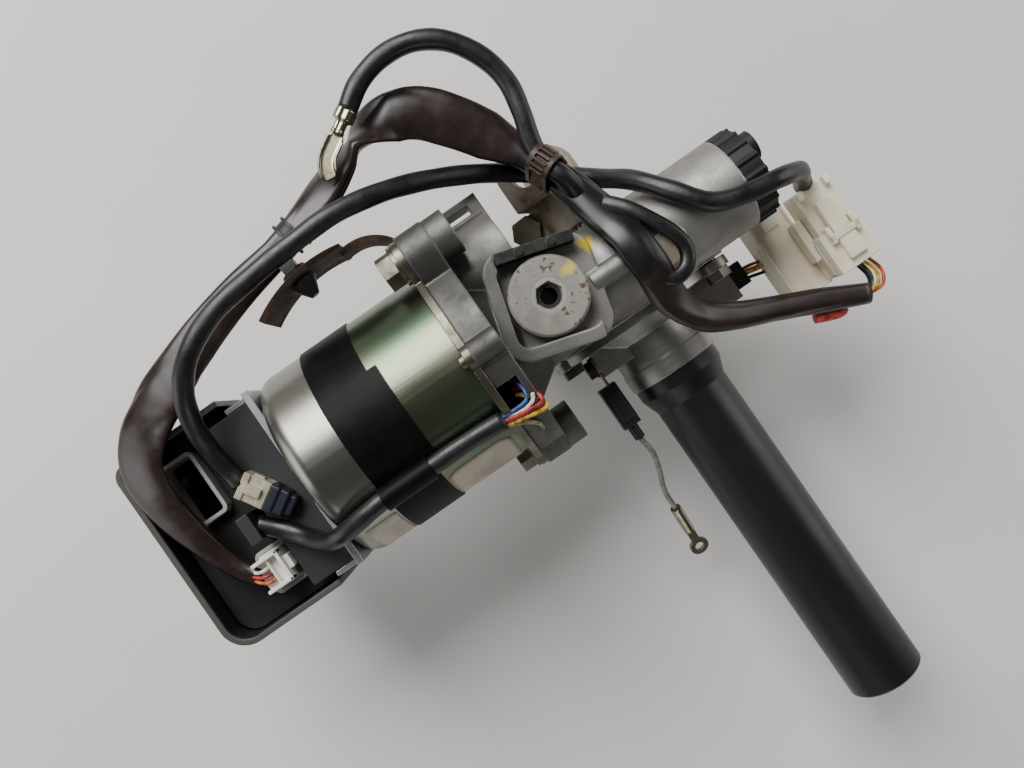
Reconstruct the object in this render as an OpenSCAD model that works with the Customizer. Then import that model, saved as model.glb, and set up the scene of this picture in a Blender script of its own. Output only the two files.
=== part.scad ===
// Electric power steering column: worm drive housing, assist motor with its
// control unit, torque sensor collar, column tube, universal joint yoke and harness.
// Modelled about the column axis (along Y) and the worm axis (along X, above it),
// then moved so that the origin is the mouth of the upper pivot thread.

/* [Column] */
// Outer diameter of the column tube
tube_d = 36; // [34:0.5:38]
// Wall of the column tube
tube_wall = 1.6; // [1.2:0.1:2]
// Length of the column tube from the collar's end face
tube_len = 173; // [140:1:220]
// Outer diameter of the tube's bell mouth
bell_d = 42; // [41:0.5:43.5]
// Length of the bell mouth before it tapers
bell_len = 6; // [4:0.5:9]
// Length of the taper behind the bell mouth
bell_taper = 8; // [5:0.5:12]
// Diameter of the steering shaft inside the tube
shaft_d = 20; // [18:0.5:22]
// How far the steering shaft ends inside the tube's mouth
shaft_recess = 14; // [8:1:30]
// Diameter of the torsion bar
torsion_d = 6.4; // [5:0.2:7]
// Twist that the torque sensor allows each way, in degrees
twist_limit = 5; // [3:0.5:6]

/* [Worm gear] */
// Axial module of the worm and wheel
gear_module = 2; // [1.9:0.05:2.1]
// Teeth on the worm wheel
wheel_teeth = 33; // [32:1:34]
// Threads on the worm
worm_starts = 2; // [1:1:2]
// Pitch diameter of the worm
worm_pitch_d = 18; // [17:0.5:19]
// Threaded length of the worm
worm_len = 36; // [30:1:40]
// Face width of the worm wheel
wheel_face = 14; // [12:0.5:15]
// Play between the tooth flanks
mesh_play = 0.4; // [0.3:0.05:0.6]

/* [Gear housing] */
// Outer diameter of the worm tube
worm_tube_d = 41; // [39:0.5:43]
// Distance from the column axis to the worm tube's closed end
worm_tube_reach = 56; // [52:1:60]
// Distance from the column axis to the motor's mounting face
motor_face = 72; // [70:0.5:76]
// Thickness of the casting behind the motor's mounting face
face_plate_t = 12; // [10:0.5:14]
// Wall around the worm wheel
drum_wall = 3.2; // [2.5:0.1:4.5]
// Distance from the worm axis to the joint face of the two castings
split_depth = 22; // [21:0.5:24]
// Width of the slot in the harness lug
lug_slot_w = 4; // [3:0.5:5]

/* [Sensor collar] */
// Outer diameter of the collar
collar_d = 44; // [43.5:0.5:46]
// Length of the collar from the joint face
collar_len = 31; // [30:0.5:34]
// Thickness of the collar's flange
collar_flange_t = 4; // [3:0.5:6]
// Height of the bolt pads above the collar's flange
pad_rise = 0.8; // [0.5:0.1:1.5]
// Setback of the bolt bosses from the joint face of the castings
boss_setback = 0.4; // [0.2:0.1:0.6]
// Reach of the plug wing from the column axis
wing_reach = 44; // [40:1:48]

/* [Motor] */
// Outer diameter of the motor can
motor_d = 85; // [82:0.5:86]
// Length of the motor can
motor_len = 78; // [76:1:84]
// Wall of the motor can
can_wall = 2.5; // [2:0.1:3]
// Corner radius at the can's closed end
can_round = 7; // [4:0.5:9]
// Thickness of the motor's end plate
end_plate_t = 3; // [2.5:0.1:4]
// Distance of the two motor bolts' centres outside the can
motor_bolt_stand = 11; // [10.5:0.25:12.5]
// Turn of the motor bolts about the motor axis, in degrees
motor_bolt_turn = 32; // [25:1:40]
// Thickness of the tape band
tape_t = 0.7; // [0.4:0.1:1.2]
// Width of the tape band
tape_w = 22; // [16:1:26]

/* [Control unit] */
// Length of the tray along the motor axis
tray_len = 51; // [48:1:56]
// Width of the tray
tray_w = 90; // [86:1:96]
// Wall of the tray
tray_wall = 2.5; // [2:0.1:3.5]
// Height of the tray
tray_h = 48; // [46:1:52]
// Height of the connector deck above the tray's bottom
lower_deck = 34; // [32:0.5:37]
// Height of the upper deck above the tray's bottom
upper_deck = 46; // [44:0.5:50]
// Thickness of the circuit board
board_t = 1.6; // [1:0.1:2]

/* [Pivot] */
// Distance of the pivot from the column axis, towards the motor
pivot_out = 35; // [34:0.5:37]
// Distance of the pivot from the worm axis, towards the yoke
pivot_along = 3; // [2:0.5:5]
// Height of the upper pivot face above the column axis
pivot_top = 74; // [73:0.5:78]
// Depth of the lower pivot face below the column axis
pivot_bottom = 66; // [62:0.5:70]
// Diameter of the pivot bush
bush_d = 32; // [30:0.5:34]
// Thickness of the pivot bush
bush_t = 7.7; // [6:0.1:8]
// Diameter of the threaded pivot insert
insert_d = 14; // [12:0.5:16]
// Bore of the thread in the insert
thread_d = 6.8; // [5:0.1:8.5]
// Turn of the pivot pocket, in degrees
pocket_turn = -16; // [-20:1:-10]

/* [Yoke] */
// Span over the yoke's ears
yoke_span = 52; // [48:1:54]
// Thickness of each ear
ear_t = 8; // [6:0.5:9]
// Bore for the joint cross in the ears
cross_d = 15; // [13:0.5:16]
// Turn of the yoke about the column axis, in degrees
yoke_turn = 70; // [0:5:90]

/* [Harness] */
// Diameter of the main sleeve
sleeve_d = 12; // [10:0.5:13]
// Diameter of the signal cable
cable_d = 8; // [6:0.5:8.5]
// Diameter of the power lead
lead_d = 8; // [6:0.5:8.5]
// Diameter of the motor lead
motor_lead_d = 7.6; // [6:0.2:8]
// Diameter of the ground wire
ground_d = 2.6; // [2:0.2:3]

/* [Hidden] */
$fn = 64;
over = 0.1;           // overshoot of a cut past the face that it opens
slide_fit = 0.05;     // radial room of a shaft in its bush
seat_gap = 0.3;       // room between pieces that move past each other
bolt_room = 0.2;      // radial room of a bolt in its hole

// Worm gear, in the plane through the worm axis across the column
wheel_r = gear_module * wheel_teeth / 2;
worm_r = worm_pitch_d / 2;
worm_z = wheel_r + worm_r;
addendum = gear_module;
dedendum = 1.2 * gear_module;
flank_angle = 20;
axial_pitch = PI * gear_module;
worm_lead = axial_pitch * worm_starts;
wheel_tip_r = wheel_r + addendum;
worm_tip_r = worm_r + addendum;
worm_root_r = worm_r - dedendum;
wheel_twist = wheel_face * worm_lead / (2 * PI * worm_r) / wheel_r * 180 / PI;

// Stations along the column axis, from the yoke to the tube's mouth
hub_front = wheel_face / 2 + 1.5;
bearing_w = 10;
bearing_d = 35;
drum_back = hub_front + bearing_w - 1.5;
seal_w = 2.5;
seal_d = 28;
seal_face = drum_back + 4.5;
hub_rear = -wheel_face / 2 - 1;
cup_depth = 12;
collar_end = -split_depth - collar_len;
tube_end = collar_end - tube_len;
shaft_end = tube_end + shaft_recess;
drum_d = 2 * (wheel_tip_r + 1.6 + drum_wall);
journal_d = 17;
seat_d = 22;
cup_d = 30;
dog_d = 22.4;
lug_w = 4;
needle_d = 28;
needle_w = 9;
spigot_len = bell_len;
spigot_d = bell_d - 2 * tube_wall - 2 * slide_fit;
coil_d = 39;
coil_bore = 30.4;
coil_w = 16;
coil_rear = collar_end + needle_w + 1;

// Stations along the worm axis, from the motor's tail to the closed end
worm_bearing_d = 28;
worm_bearing_w = 8;
worm_journal_d = 2 * worm_root_r - 1.2;
worm_cavity_d = 2 * worm_tip_r + 3.2;
worm_left = -38;
worm_right = 26;
adjuster_d = 30;
motor_front = -motor_face - end_plate_t;
motor_rear = motor_front - motor_len;
register_d = 60;
register_t = 4;
motor_shaft_d = 10;
motor_bearing_d = 26;
motor_bearing_w = end_plate_t + register_t - 0.5;
coupling_d = 22;
end_plate_d = motor_d + 11;
face_plate_d = motor_d + 7;
motor_bolt_pcd = motor_d + 2 * motor_bolt_stand;
screw_ring = motor_d / 2 + 3.2;
bolt_d = 8;
bolt_flange_d = 17;
bolt_hex = 13;

// Control unit behind the motor
bracket_t = 2.8;
cover_front = motor_rear - bracket_t;
tray_front = motor_rear - 15.5;
tray_rear = tray_front - tray_len;
tray_mid_y = 1;
tray_low = worm_z - 34;
deck_low = tray_low + lower_deck;
deck_high = tray_low + upper_deck;
tray_top = tray_low + tray_h;
tray_room = 0.5;
base_t = 7.5;
cover_wall = 2.5;
leg_out = 40.6;
leg_t = 2;
step_x = motor_rear - 25;
socket_a = [motor_rear - 46, 22];
socket_b = [motor_rear - 34, -24];

// Pivot
pivot = [-pivot_out, pivot_along];
pocket_w = 44;
pocket_wall = 5;
pocket_floor = pivot_top - bush_t - seat_gap;
lower_floor = -pivot_bottom + bush_t + seat_gap;
insert_depth = 7;
hex_mouth = 2.5;
stem_d = 12;
strap_screw = [-pivot_out - 22, 53];

// Route points of the cords, chosen to follow the loom, in the column's axes
sleeve_route = [[-193.2, -23, 54], [-198, -17, 54], [-202, -7, 55], [-205, 5, 57], [-207, 17, 59],
    [-207, 29, 62], [-204, 40, 64], [-196, 49, 65], [-185, 56, 65], [-170, 63, 64], [-153, 70, 62], [-133, 76, 60],
    [-114, 80, 58], [-98, 84, 58], [-82, 90, 58], [-66, 97, 58], [-52, 100, 58], [-38, 96, 57],
    [-26, 84, 55], [-16, 70, 52], [-8, 55, 50], [-2, 38, 53], [1, 22, 61], [3, 6, 69],
    [4, -10, 69], [6, -24, 60], [13, -37, 50], [26, -46, 44], [44, -54, 38], [62, -62, 33], [83, -72, 29]];
cable_route = [[-177, 12, 60], [-178, 20, 61], [-178, 30, 65], [-176, 40, 71], [-170, 51, 78],
    [-160, 61, 81], [-144, 69, 80], [-124, 73, 77], [-105, 75, 75], [-86, 76, 73], [-67, 74, 68],
    [-50, 70, 61], [-33, 64, 52], [-16, 56, 42], [-1, 46, 37], [11, 34, 44], [20, 23, 58],
    [28, 10, 67], [38, -3, 69], [52, -8, 69], [65, -10, 67.5], [77.5, -12, 56], [83, -14, 41], [86, -18, 30]];
lead_route = [[-0.5, 30, 57], [-2.6, 39, 62.5], [-5.6, 48, 61.8], [-5, 58, 62.5], [-2, 69, 64], [0, 82, 65],
    [-3, 95, 67], [-11, 107, 69], [-22, 114, 70], [-35, 116, 70], [-48, 113, 70], [-58, 107, 69]];
lead_stand = (motor_d + motor_lead_d) / 2 + 0.87;
lead_side = -0.53 * lead_stand;
lead_top = worm_z + 0.848 * lead_stand;
motor_route = [[-76, lead_side - 1, lead_top], [-94, lead_side, lead_top], [-112, lead_side, lead_top],
    [-130, lead_side, lead_top], [-141, lead_side - 1, lead_top], [-151, lead_side - 2, lead_top - 3],
    [-159, -26, 71], [-166, -21, 62.5], [-173, -13.5, 59], [-181, -5, 59]];
ground_route = [[-32, -70, 9], [-31, -79, 7], [-32.5, -88, 1], [-35.3, -100.1, -10.3], [-35.3, -110.7, -15.9]];

// Moves children from the column's axes to the origin at the upper pivot thread
module from_pivot() {
    translate([-pivot[0], -pivot[1], hex_mouth - pivot_top]) children();
}

// Round bars along each axis, placed by their two end stations
module rod_x(x0, x1, d, y = 0, z = worm_z) {
    translate([x0, y, z]) rotate([0, 90, 0]) cylinder(d = d, h = x1 - x0);
}
module rod_y(y0, y1, d, x = 0, z = 0) {
    translate([x, y0, z]) rotate([-90, 0, 0]) cylinder(d = d, h = y1 - y0);
}
module rod_z(z0, z1, d, x = 0, y = 0) {
    translate([x, y, z0]) cylinder(d = d, h = z1 - z0);
}

// Plain rings along the worm and column axes
module ring_x(x0, x1, d, hole) {
    difference() {
        rod_x(x0, x1, d);
        rod_x(x0 - over, x1 + over, hole);
    }
}
module ring_y(y0, y1, d, hole) {
    difference() {
        rod_y(y0, y1, d);
        rod_y(y0 - over, y1 + over, hole);
    }
}

// Block between two opposite corners
module slab(low, high) {
    translate(low) cube(high - low);
}

// Rectangle with rounded corners, about its centre
module round_rect(w, h, r) {
    square([w - 2 * r, h], center = true);
    square([w, h - 2 * r], center = true);
    for (sx = [-1, 1], sy = [-1, 1])
        translate([sx * (w / 2 - r), sy * (h / 2 - r)]) circle(r);
}

// Positions of the two motor bolts, with the local X of a plane that faces along the worm axis
module at_motor_bolts() {
    for (turn = [0, 180])
        rotate(90 + motor_bolt_turn + turn) translate([motor_bolt_pcd / 2, 0]) children();
}

// Plate across the motor axis with an ear at each bolt
module eared_plate(x0, t, d, ear_d) {
    translate([x0, 0, worm_z]) rotate([0, 90, 0]) linear_extrude(t) {
        circle(d = d);
        at_motor_bolts() {
            circle(d = ear_d);
            translate([-ear_d, -ear_d / 2]) square([ear_d, ear_d]);
        }
        for (side = [-1, 1])
            translate([side * screw_ring, 0]) circle(d = 11);
    }
}

// Hole along the worm axis at each motor bolt
module motor_bolt_holes(x0, x1, d) {
    translate([x0, 0, worm_z]) rotate([0, 90, 0]) at_motor_bolts() cylinder(d = d, h = x1 - x0);
}

// Corner stations of the three bolts that join the two castings
module at_housing_bolts() {
    for (turn = [30, 205, 310])
        rotate([0, -turn, 0]) translate([drum_d / 2 + 2, 0, 0]) children();
}

// Aluminium casting that holds the worm, the wheel and the pivots and carries the motor
module gear_housing() {
    boss_d = 14;
    cavity_d = 2 * (wheel_tip_r + 1.6);
    lug_edge = 58;
    color("#a7a9ab") from_pivot() difference() {
        union() {
            rod_x(-motor_face + face_plate_t / 2, worm_tube_reach, worm_tube_d);
            eared_plate(-motor_face, face_plate_t, face_plate_d, 20);
            translate([-motor_face + face_plate_t, 0, worm_z]) rotate([0, 90, 0])
                cylinder(d1 = 60, d2 = worm_tube_d - 2, h = 15);
            motor_bolt_holes(-motor_face + face_plate_t - 1, -motor_face + face_plate_t + 9, 19);
            rod_y(-split_depth, drum_back, drum_d);
            rod_y(drum_back - over, seal_face, 38);
            at_housing_bolts() translate([0, -split_depth + boss_setback, 0]) rotate([-90, 0, 0])
                cylinder(d = boss_d, h = 15);
            // Lobe and slotted harness lug on the yoke side
            rod_x(-motor_face + face_plate_t - 1, -pivot_out, 40, y = 30, z = worm_z - 2);
            slab([-pivot_out - 26, 30, worm_z - 12], [-pivot_out + 1, lug_edge, worm_z + 2]);
            pivot_block();
            rod_z(lower_floor, 12, 36, pivot[0], pivot[1]);
            // Round-ended locating stub on top of the worm tube
            translate([-pivot_out + 17.5, -2, worm_z + 21.5]) rotate([0, 90, 0]) bullet(9, 18);
        }
        rod_y(-split_depth - over, hub_front, cavity_d);
        rod_y(hub_front - over, hub_front + bearing_w, bearing_d + 2 * slide_fit);
        rod_y(hub_front + bearing_w - over, seal_face + over, seal_d + 2 * slide_fit);
        rod_x(worm_left - over, worm_right + over, worm_cavity_d);
        rod_x(worm_left - worm_bearing_w, worm_left, worm_bearing_d + 2 * slide_fit);
        rod_x(worm_right, worm_right + worm_bearing_w, worm_bearing_d + 2 * slide_fit);
        rod_x(worm_right + worm_bearing_w - over, worm_tube_reach + over, adjuster_d + 2 * slide_fit);
        rod_x(-motor_face - over, worm_left - worm_bearing_w + over, worm_bearing_d + 4);
        rod_x(-motor_face - over, -motor_face + register_t, register_d + 2 * slide_fit);
        motor_bolt_holes(-motor_face - over, -motor_face + face_plate_t + 6, bolt_d + 2 * bolt_room);
        rod_z(pocket_floor - insert_depth, pocket_floor + over, stem_d + 2 * slide_fit, pivot[0], pivot[1]);
        rod_z(lower_floor - over, lower_floor + insert_depth, stem_d + 2 * slide_fit, pivot[0], pivot[1]);
        at_housing_bolts() translate([0, -split_depth - over, 0]) rotate([-90, 0, 0])
            cylinder(d = 6 + 2 * bolt_room, h = 12);
        // Window where the motor's wires come out through the face plate
        translate([0, 0, worm_z]) rotate([30, 0, 0])
            slab([-motor_face - over, -9, register_d / 2 - 4], [-motor_face + face_plate_t - 3, 9, 60]);
        slab([-pivot_out - 17, lug_edge - 3 - lug_slot_w, 0], [-pivot_out - 4, lug_edge - 3, worm_z + 10]);
        rod_z(worm_z - 7, worm_z + 2 + over, 4 + 2 * bolt_room, strap_screw[0], strap_screw[1]);
        motor_plate_screw_holes();
    }
}

// Round bar of diameter d along Z with a half-round end, h long in all
module bullet(d, h) {
    rotate_extrude() intersection() {
        union() {
            square([d / 2, h - d / 2]);
            translate([0, h - d / 2]) circle(d / 2);
        }
        square([d, h]);
    }
}

// Square boss around the upper pivot, with raised walls on two sides
module pivot_block() {
    wall_h = 8;
    translate([pivot[0], pivot[1], 0]) rotate(pocket_turn) {
        translate([0, 0, worm_z]) linear_extrude(pocket_floor - worm_z) round_rect(pocket_w, pocket_w, 9);
        translate([0, 0, pocket_floor - 1]) linear_extrude(wall_h + 1) difference() {
            round_rect(pocket_w, pocket_w, 9);
            round_rect(pocket_w - 2 * pocket_wall, pocket_w - 2 * pocket_wall, 5);
            translate([-pocket_w / 2 + 6, 6]) square(pocket_w);
            translate([16, -pocket_w]) square(2 * pocket_w);
        }
    }
}

// Threaded holes in the face plate for the end plate's own screws
module motor_plate_screw_holes() {
    at_plate_screws() translate([0, 0, -end_plate_t - over]) cylinder(d = 4 + 2 * bolt_room, h = end_plate_t + 9);
}

// Stations of the pan-head screws around the motor's end plate
module at_plate_screws() {
    translate([-motor_face, 0, worm_z]) for (turn = [0, 180])
        rotate([turn, 0, 0]) translate([0, 0, screw_ring]) rotate([0, 90, 0]) children();
}

// Aluminium collar with the torque sensor, its plug wing and the ground boss
module sensor_housing() {
    ring_len = 8;
    flange_d = drum_d - 2;
    color("#b3b5b6") from_pivot() difference() {
        union() {
            rod_y(-split_depth - collar_flange_t, -split_depth, flange_d);
            translate([0, -split_depth - collar_flange_t, 0]) rotate([90, 0, 0])
                cylinder(d1 = collar_d + 14, d2 = collar_d - 4, h = 8);
            rod_y(collar_end + over, -split_depth - over, collar_d - 1);
            rod_y(collar_end, collar_end + ring_len, collar_d);
            rod_y(collar_end - spigot_len, collar_end + over, spigot_d);
            at_housing_bolts() translate([0, -split_depth - collar_flange_t - pad_rise, 0]) rotate([-90, 0, 0])
                cylinder(d = 14, h = collar_flange_t + pad_rise - boss_setback);
            slab([14, collar_end + ring_len + 1, -12], [wing_reach, -split_depth - 1, 6]);
            // Boss for the ground screw
            slab([-30, -split_depth - 16, 4], [-14, -split_depth - collar_flange_t + over, 16]);
        }
        rod_y(coil_rear, -split_depth + over, coil_d + 2 * slide_fit);
        rod_y(collar_end, coil_rear + over, needle_d + 2 * slide_fit);
        rod_y(collar_end - spigot_len - over, collar_end + over, shaft_d + 4);
        at_housing_bolts() translate([0, -split_depth - collar_flange_t - pad_rise - over, 0]) rotate([-90, 0, 0])
            cylinder(d = 6 + 2 * bolt_room, h = collar_flange_t + pad_rise + 2 * over);
        // Slot across the wing and the pocket that takes the plug
        slab([18, -split_depth - 4.5, 4], [wing_reach + over, -split_depth - 3, 6 + over]);
        slab([wing_reach - 9, -split_depth - 19, -7], [wing_reach + over, -split_depth - 7, 3]);
        rod_x(-30 - over, -22, 5 + 2 * bolt_room, y = ground_y, z = ground_z);
    }
}

// Station of the ground screw on the collar's boss
ground_y = -split_depth - 10;
ground_z = 10;

// Three bolts that join the collar to the gear housing
module housing_bolts() {
    color("#8f9294") from_pivot() at_housing_bolts()
        translate([0, -split_depth - collar_flange_t - pad_rise, 0]) rotate([-90, 0, 0]) {
            translate([0, 0, -4.5]) cylinder(d = 11.5, h = 4.5, $fn = 6);
            translate([0, 0, -over]) cylinder(d = 6, h = collar_flange_t + pad_rise + 10);
        }
}

// Black steel jacket tube with a bell mouth that is pressed over the collar's spigot
module column_tube() {
    bell_r = bell_d / 2;
    tube_r = tube_d / 2;
    lip = 1;
    color("#1b1b1d") from_pivot() translate([0, collar_end, 0]) rotate([90, 0, 0]) rotate_extrude() {
        polygon([[bell_r - tube_wall, 0], [bell_r, 0], [bell_r, bell_len], [tube_r, bell_len + bell_taper],
            [tube_r, tube_len - lip], [tube_r - lip, tube_len], [tube_r - tube_wall, tube_len],
            [tube_r - tube_wall, bell_len + bell_taper + 1], [bell_r - tube_wall, bell_len + 1]]);
    }
}

// Plastic bush that centres the steering shaft near the tube's mouth
module tube_bush() {
    bush_len = 14;
    color("#d8d4c4") from_pivot() difference() {
        ring_y(shaft_end + 12, shaft_end + 12 + bush_len, tube_d - 2 * tube_wall - 2 * slide_fit, shaft_d + 2 * slide_fit);
        for (turn = [0:45:135])
            translate([0, shaft_end + 12, 0]) rotate([0, turn, 0])
                slab([-tube_d, -over, -1.5], [tube_d, 5, 1.5]);
    }
}

// Drawn-cup needle bush behind the torque sensor
module needle_bush() {
    color("#9a9da0") from_pivot()
        ring_y(collar_end, collar_end + needle_w, needle_d, shaft_d + 2 * slide_fit);
}

// Half section of one bearing ring: the groove is a circle cut out of a rectangle
module ring_section(r0, r1, w, ball_ring_r, ball_r) {
    difference() {
        translate([r0, -w / 2]) square([r1 - r0, w]);
        translate([ball_ring_r, 0]) circle(ball_r + 0.1);
    }
}

// Outer ring, inner ring and balls of a deep-groove bearing about Z
module bearing_outer(bore, d, w) {
    rotate_extrude() ring_section(d / 2 - (d - bore) * 0.14, d / 2, w, (bore + d) / 4, (d - bore) * 0.13);
}
module bearing_inner(bore, d, w) {
    rotate_extrude() ring_section(bore / 2, bore / 2 + (d - bore) * 0.14, w, (bore + d) / 4, (d - bore) * 0.13);
}
module bearing_ball_ring(bore, d) {
    for (turn = [0:45:315])
        rotate(turn) translate([(bore + d) / 4, 0, 0]) sphere((d - bore) * 0.13);
}

// Stations of the ball bearings: one on the output shaft, two on the worm, one in the end plate
module at_output_bearing() {
    translate([0, hub_front + bearing_w / 2, 0]) rotate([-90, 0, 0]) children();
}
module at_worm_bearings() {
    for (x = [worm_left - worm_bearing_w / 2, worm_right + worm_bearing_w / 2])
        translate([x, 0, worm_z]) rotate([0, 90, 0]) children();
}
module at_motor_bearing() {
    translate([motor_front + motor_bearing_w / 2, 0, worm_z]) rotate([0, 90, 0]) children();
}

// Fixed rings of the four ball bearings and the sintered bush in the can's tail
module bearing_outer_rings() {
    color("#c2c4c6") from_pivot() {
        at_output_bearing() bearing_outer(journal_d, bearing_d, bearing_w);
        at_worm_bearings() bearing_outer(worm_journal_d, worm_bearing_d, worm_bearing_w);
        at_motor_bearing() bearing_outer(motor_shaft_d, motor_bearing_d, motor_bearing_w);
        ring_x(motor_rear + can_wall, motor_rear + can_wall + 8, 16, motor_shaft_d + 2 * slide_fit);
    }
}

// Balls of the four bearings
module bearing_balls() {
    color("#d5d7d9") from_pivot() {
        at_output_bearing() bearing_ball_ring(journal_d, bearing_d);
        at_worm_bearings() bearing_ball_ring(worm_journal_d, worm_bearing_d);
        at_motor_bearing() bearing_ball_ring(motor_shaft_d, motor_bearing_d);
    }
}

// Rubber lip seal around the output shaft
module output_seal() {
    color("#202022") from_pivot()
        ring_y(seal_face - seal_w - 0.5, seal_face - 0.5, seal_d, journal_d + 2 * slide_fit);
}

// Threaded plug that sets the worm's end play, with a hexagon recess
module worm_adjuster() {
    plug_len = 10;
    x0 = worm_right + worm_bearing_w;
    color("#9b9c9e") from_pivot() difference() {
        rod_x(x0, x0 + plug_len, adjuster_d);
        rod_x(x0 - over, x0 + 3, worm_bearing_d - 6);
        translate([x0 + plug_len - 6, 0, worm_z]) rotate([0, 90, 0]) cylinder(d = 17, h = 6 + over, $fn = 6);
    }
}

// Ribbed black cap on the worm tube's end, with the foot that the plug blocks clip to
module worm_end_cap() {
    cap_t = 10;
    rib_d = 2.6;
    x0 = worm_tube_reach;
    color("#1c1c1d") from_pivot() {
        difference() {
            union() {
                translate([x0, 0, worm_z]) rotate([0, 90, 0]) linear_extrude(cap_t) {
                    circle(d = worm_tube_d - 2);
                    for (turn = [10:20:350])
                        rotate(turn) translate([worm_tube_d / 2 - 1.2, 0]) circle(d = rib_d);
                }
                rod_x(x0 - 6, x0 + 1, adjuster_d - 0.2);
                rod_x(x0 + cap_t - 1, x0 + cap_t + 5, 13, y = 8, z = worm_z + 6);
                slab([x0 + 2, -16, plug_top], [x0 + 8, -5, worm_z - 12]);
            }
            rod_x(x0 - 6 - over, x0 + cap_t - 3, adjuster_d - 6);
        }
    }
}

// Height of the face where the cap's foot meets the lower plug block
plug_top = 20;

// Coil bobbin of the torque sensor
module torque_coil() {
    color("#6b3f22") from_pivot() {
        difference() {
            ring_y(coil_rear, coil_rear + coil_w, coil_d, coil_bore);
            for (y = [coil_rear + 2, coil_rear + coil_w / 2 + 1])
                ring_y(y, y + coil_w / 2 - 3, coil_d + over, coil_d - 4);
        }
    }
}

// Black plug in the collar's wing
module sensor_plug() {
    color("#19191a") from_pivot() {
        y0 = -split_depth - 18.8;
        difference() {
            union() {
                slab([wing_reach - 8.8, y0, -6.8], [wing_reach + 8, y0 + 11.6, 2.8]);
                slab([wing_reach + 0.2, y0 + 3, 2.8 - over], [wing_reach + 6, y0 + 8.6, 4.6]);
            }
            slab([wing_reach + 3, y0 + 1.5, -5.3], [wing_reach + 8 + over, y0 + 10.1, 1.3]);
        }
    }
}

// Steel end plate of the motor, with two ears and the spigot that centres it
module motor_end_plate() {
    color("#9fa2a0") from_pivot() difference() {
        union() {
            eared_plate(motor_front, end_plate_t, end_plate_d, 18);
            rod_x(-motor_face - over, -motor_face + register_t - 0.3, register_d);
        }
        rod_x(motor_front - over, motor_front + motor_bearing_w, motor_bearing_d + 2 * slide_fit);
        rod_x(motor_front, -motor_face + register_t, motor_bearing_d - 4);
        motor_bolt_holes(motor_front - over, -motor_face + over, bolt_d + 2 * bolt_room);
        motor_plate_screw_holes();
        // Slot that lets the brush wires through to the window
        translate([0, 0, worm_z]) rotate([30, 0, 0])
            slab([motor_front - over, -7, register_d / 2 - 7], [-motor_face + register_t, 7, register_d / 2 + 6]);
    }
}

// Half section of a drawn cup: radius along X, depth along Y, rounded where it closes
module cup_section(r, depth, corner) {
    square([r, depth - corner]);
    square([r - corner, depth]);
    translate([r - corner, depth - corner]) circle(corner);
}

// Deep-drawn steel can of the motor with its tail bearing cup
module motor_can() {
    inner_r = motor_d / 2 - can_wall;
    color("#b9bd9f") from_pivot() {
        translate([motor_front, 0, worm_z]) rotate([0, -90, 0]) rotate_extrude() difference() {
            intersection() {
                cup_section(motor_d / 2, motor_len, can_round);
                square([motor_d, motor_len]);
            }
            translate([0, -over]) cup_section(inner_r, motor_len - can_wall + over, can_round - can_wall);
        }
        ring_x(motor_rear + can_wall - over, motor_rear + can_wall + 8, 22, 16 + 2 * slide_fit);
    }
}

// Four arc magnets bonded inside the can
module motor_magnets() {
    color("#3c3a3a") from_pivot() for (turn = [10:90:280])
        translate([motor_rear + 16, 0, worm_z]) rotate([0, 90, 0]) rotate(turn)
            rotate_extrude(angle = 70) translate([motor_d / 2 - can_wall - 6.1, 0]) square([6, motor_len - 28]);
}

// Plastic brush plate with two brush boxes and their carbon brushes
module brush_plate() {
    x1 = motor_front;
    color("#4a3a2c") from_pivot() {
        difference() {
            ring_x(x1 - 4, x1 - 1, motor_d - 2 * can_wall - 0.6, motor_bearing_d + 6);
            translate([0, 0, worm_z]) rotate([30, 0, 0])
                slab([x1 - 5, -7, register_d / 2 - 7], [x1, 7, register_d / 2 + 6]);
        }
        for (side = [-1, 1])
            translate([x1 - 11, side * 22, worm_z]) slab([0, -7, -4], [7.2, 7, 4]);
    }
}

// Two hexagon flange bolts that hold the motor
module motor_bolts() {
    color("#b9b7ac") from_pivot() translate([motor_front, 0, worm_z]) rotate([0, 90, 0]) at_motor_bolts() {
        translate([0, 0, -1.8]) cylinder(d = bolt_flange_d, h = 1.8);
        translate([0, 0, -8]) rotate(20) cylinder(d = bolt_hex / cos(30), h = 6.4, $fn = 6);
        translate([0, 0, -over]) cylinder(d = bolt_d, h = end_plate_t + face_plate_t + 4);
    }
}

// Pan-head screws: two on the motor's end plate and one on the cable bracket
module pan_screw(shank) {
    translate([0, 0, -2.6]) intersection() {
        cylinder(d = 6, h = 2.6);
        translate([0, 0, 3.4]) sphere(r = 4.2);
    }
    translate([0, 0, -over]) cylinder(d = 4, h = shank);
}
module pan_screws() {
    color("#a5a79c") from_pivot() {
        at_plate_screws() translate([0, 0, -end_plate_t]) pan_screw(end_plate_t + 7);
        translate([strap_screw[0], strap_screw[1], worm_z + 4.5]) rotate([180, 0, 0]) pan_screw(9);
    }
}

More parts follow.
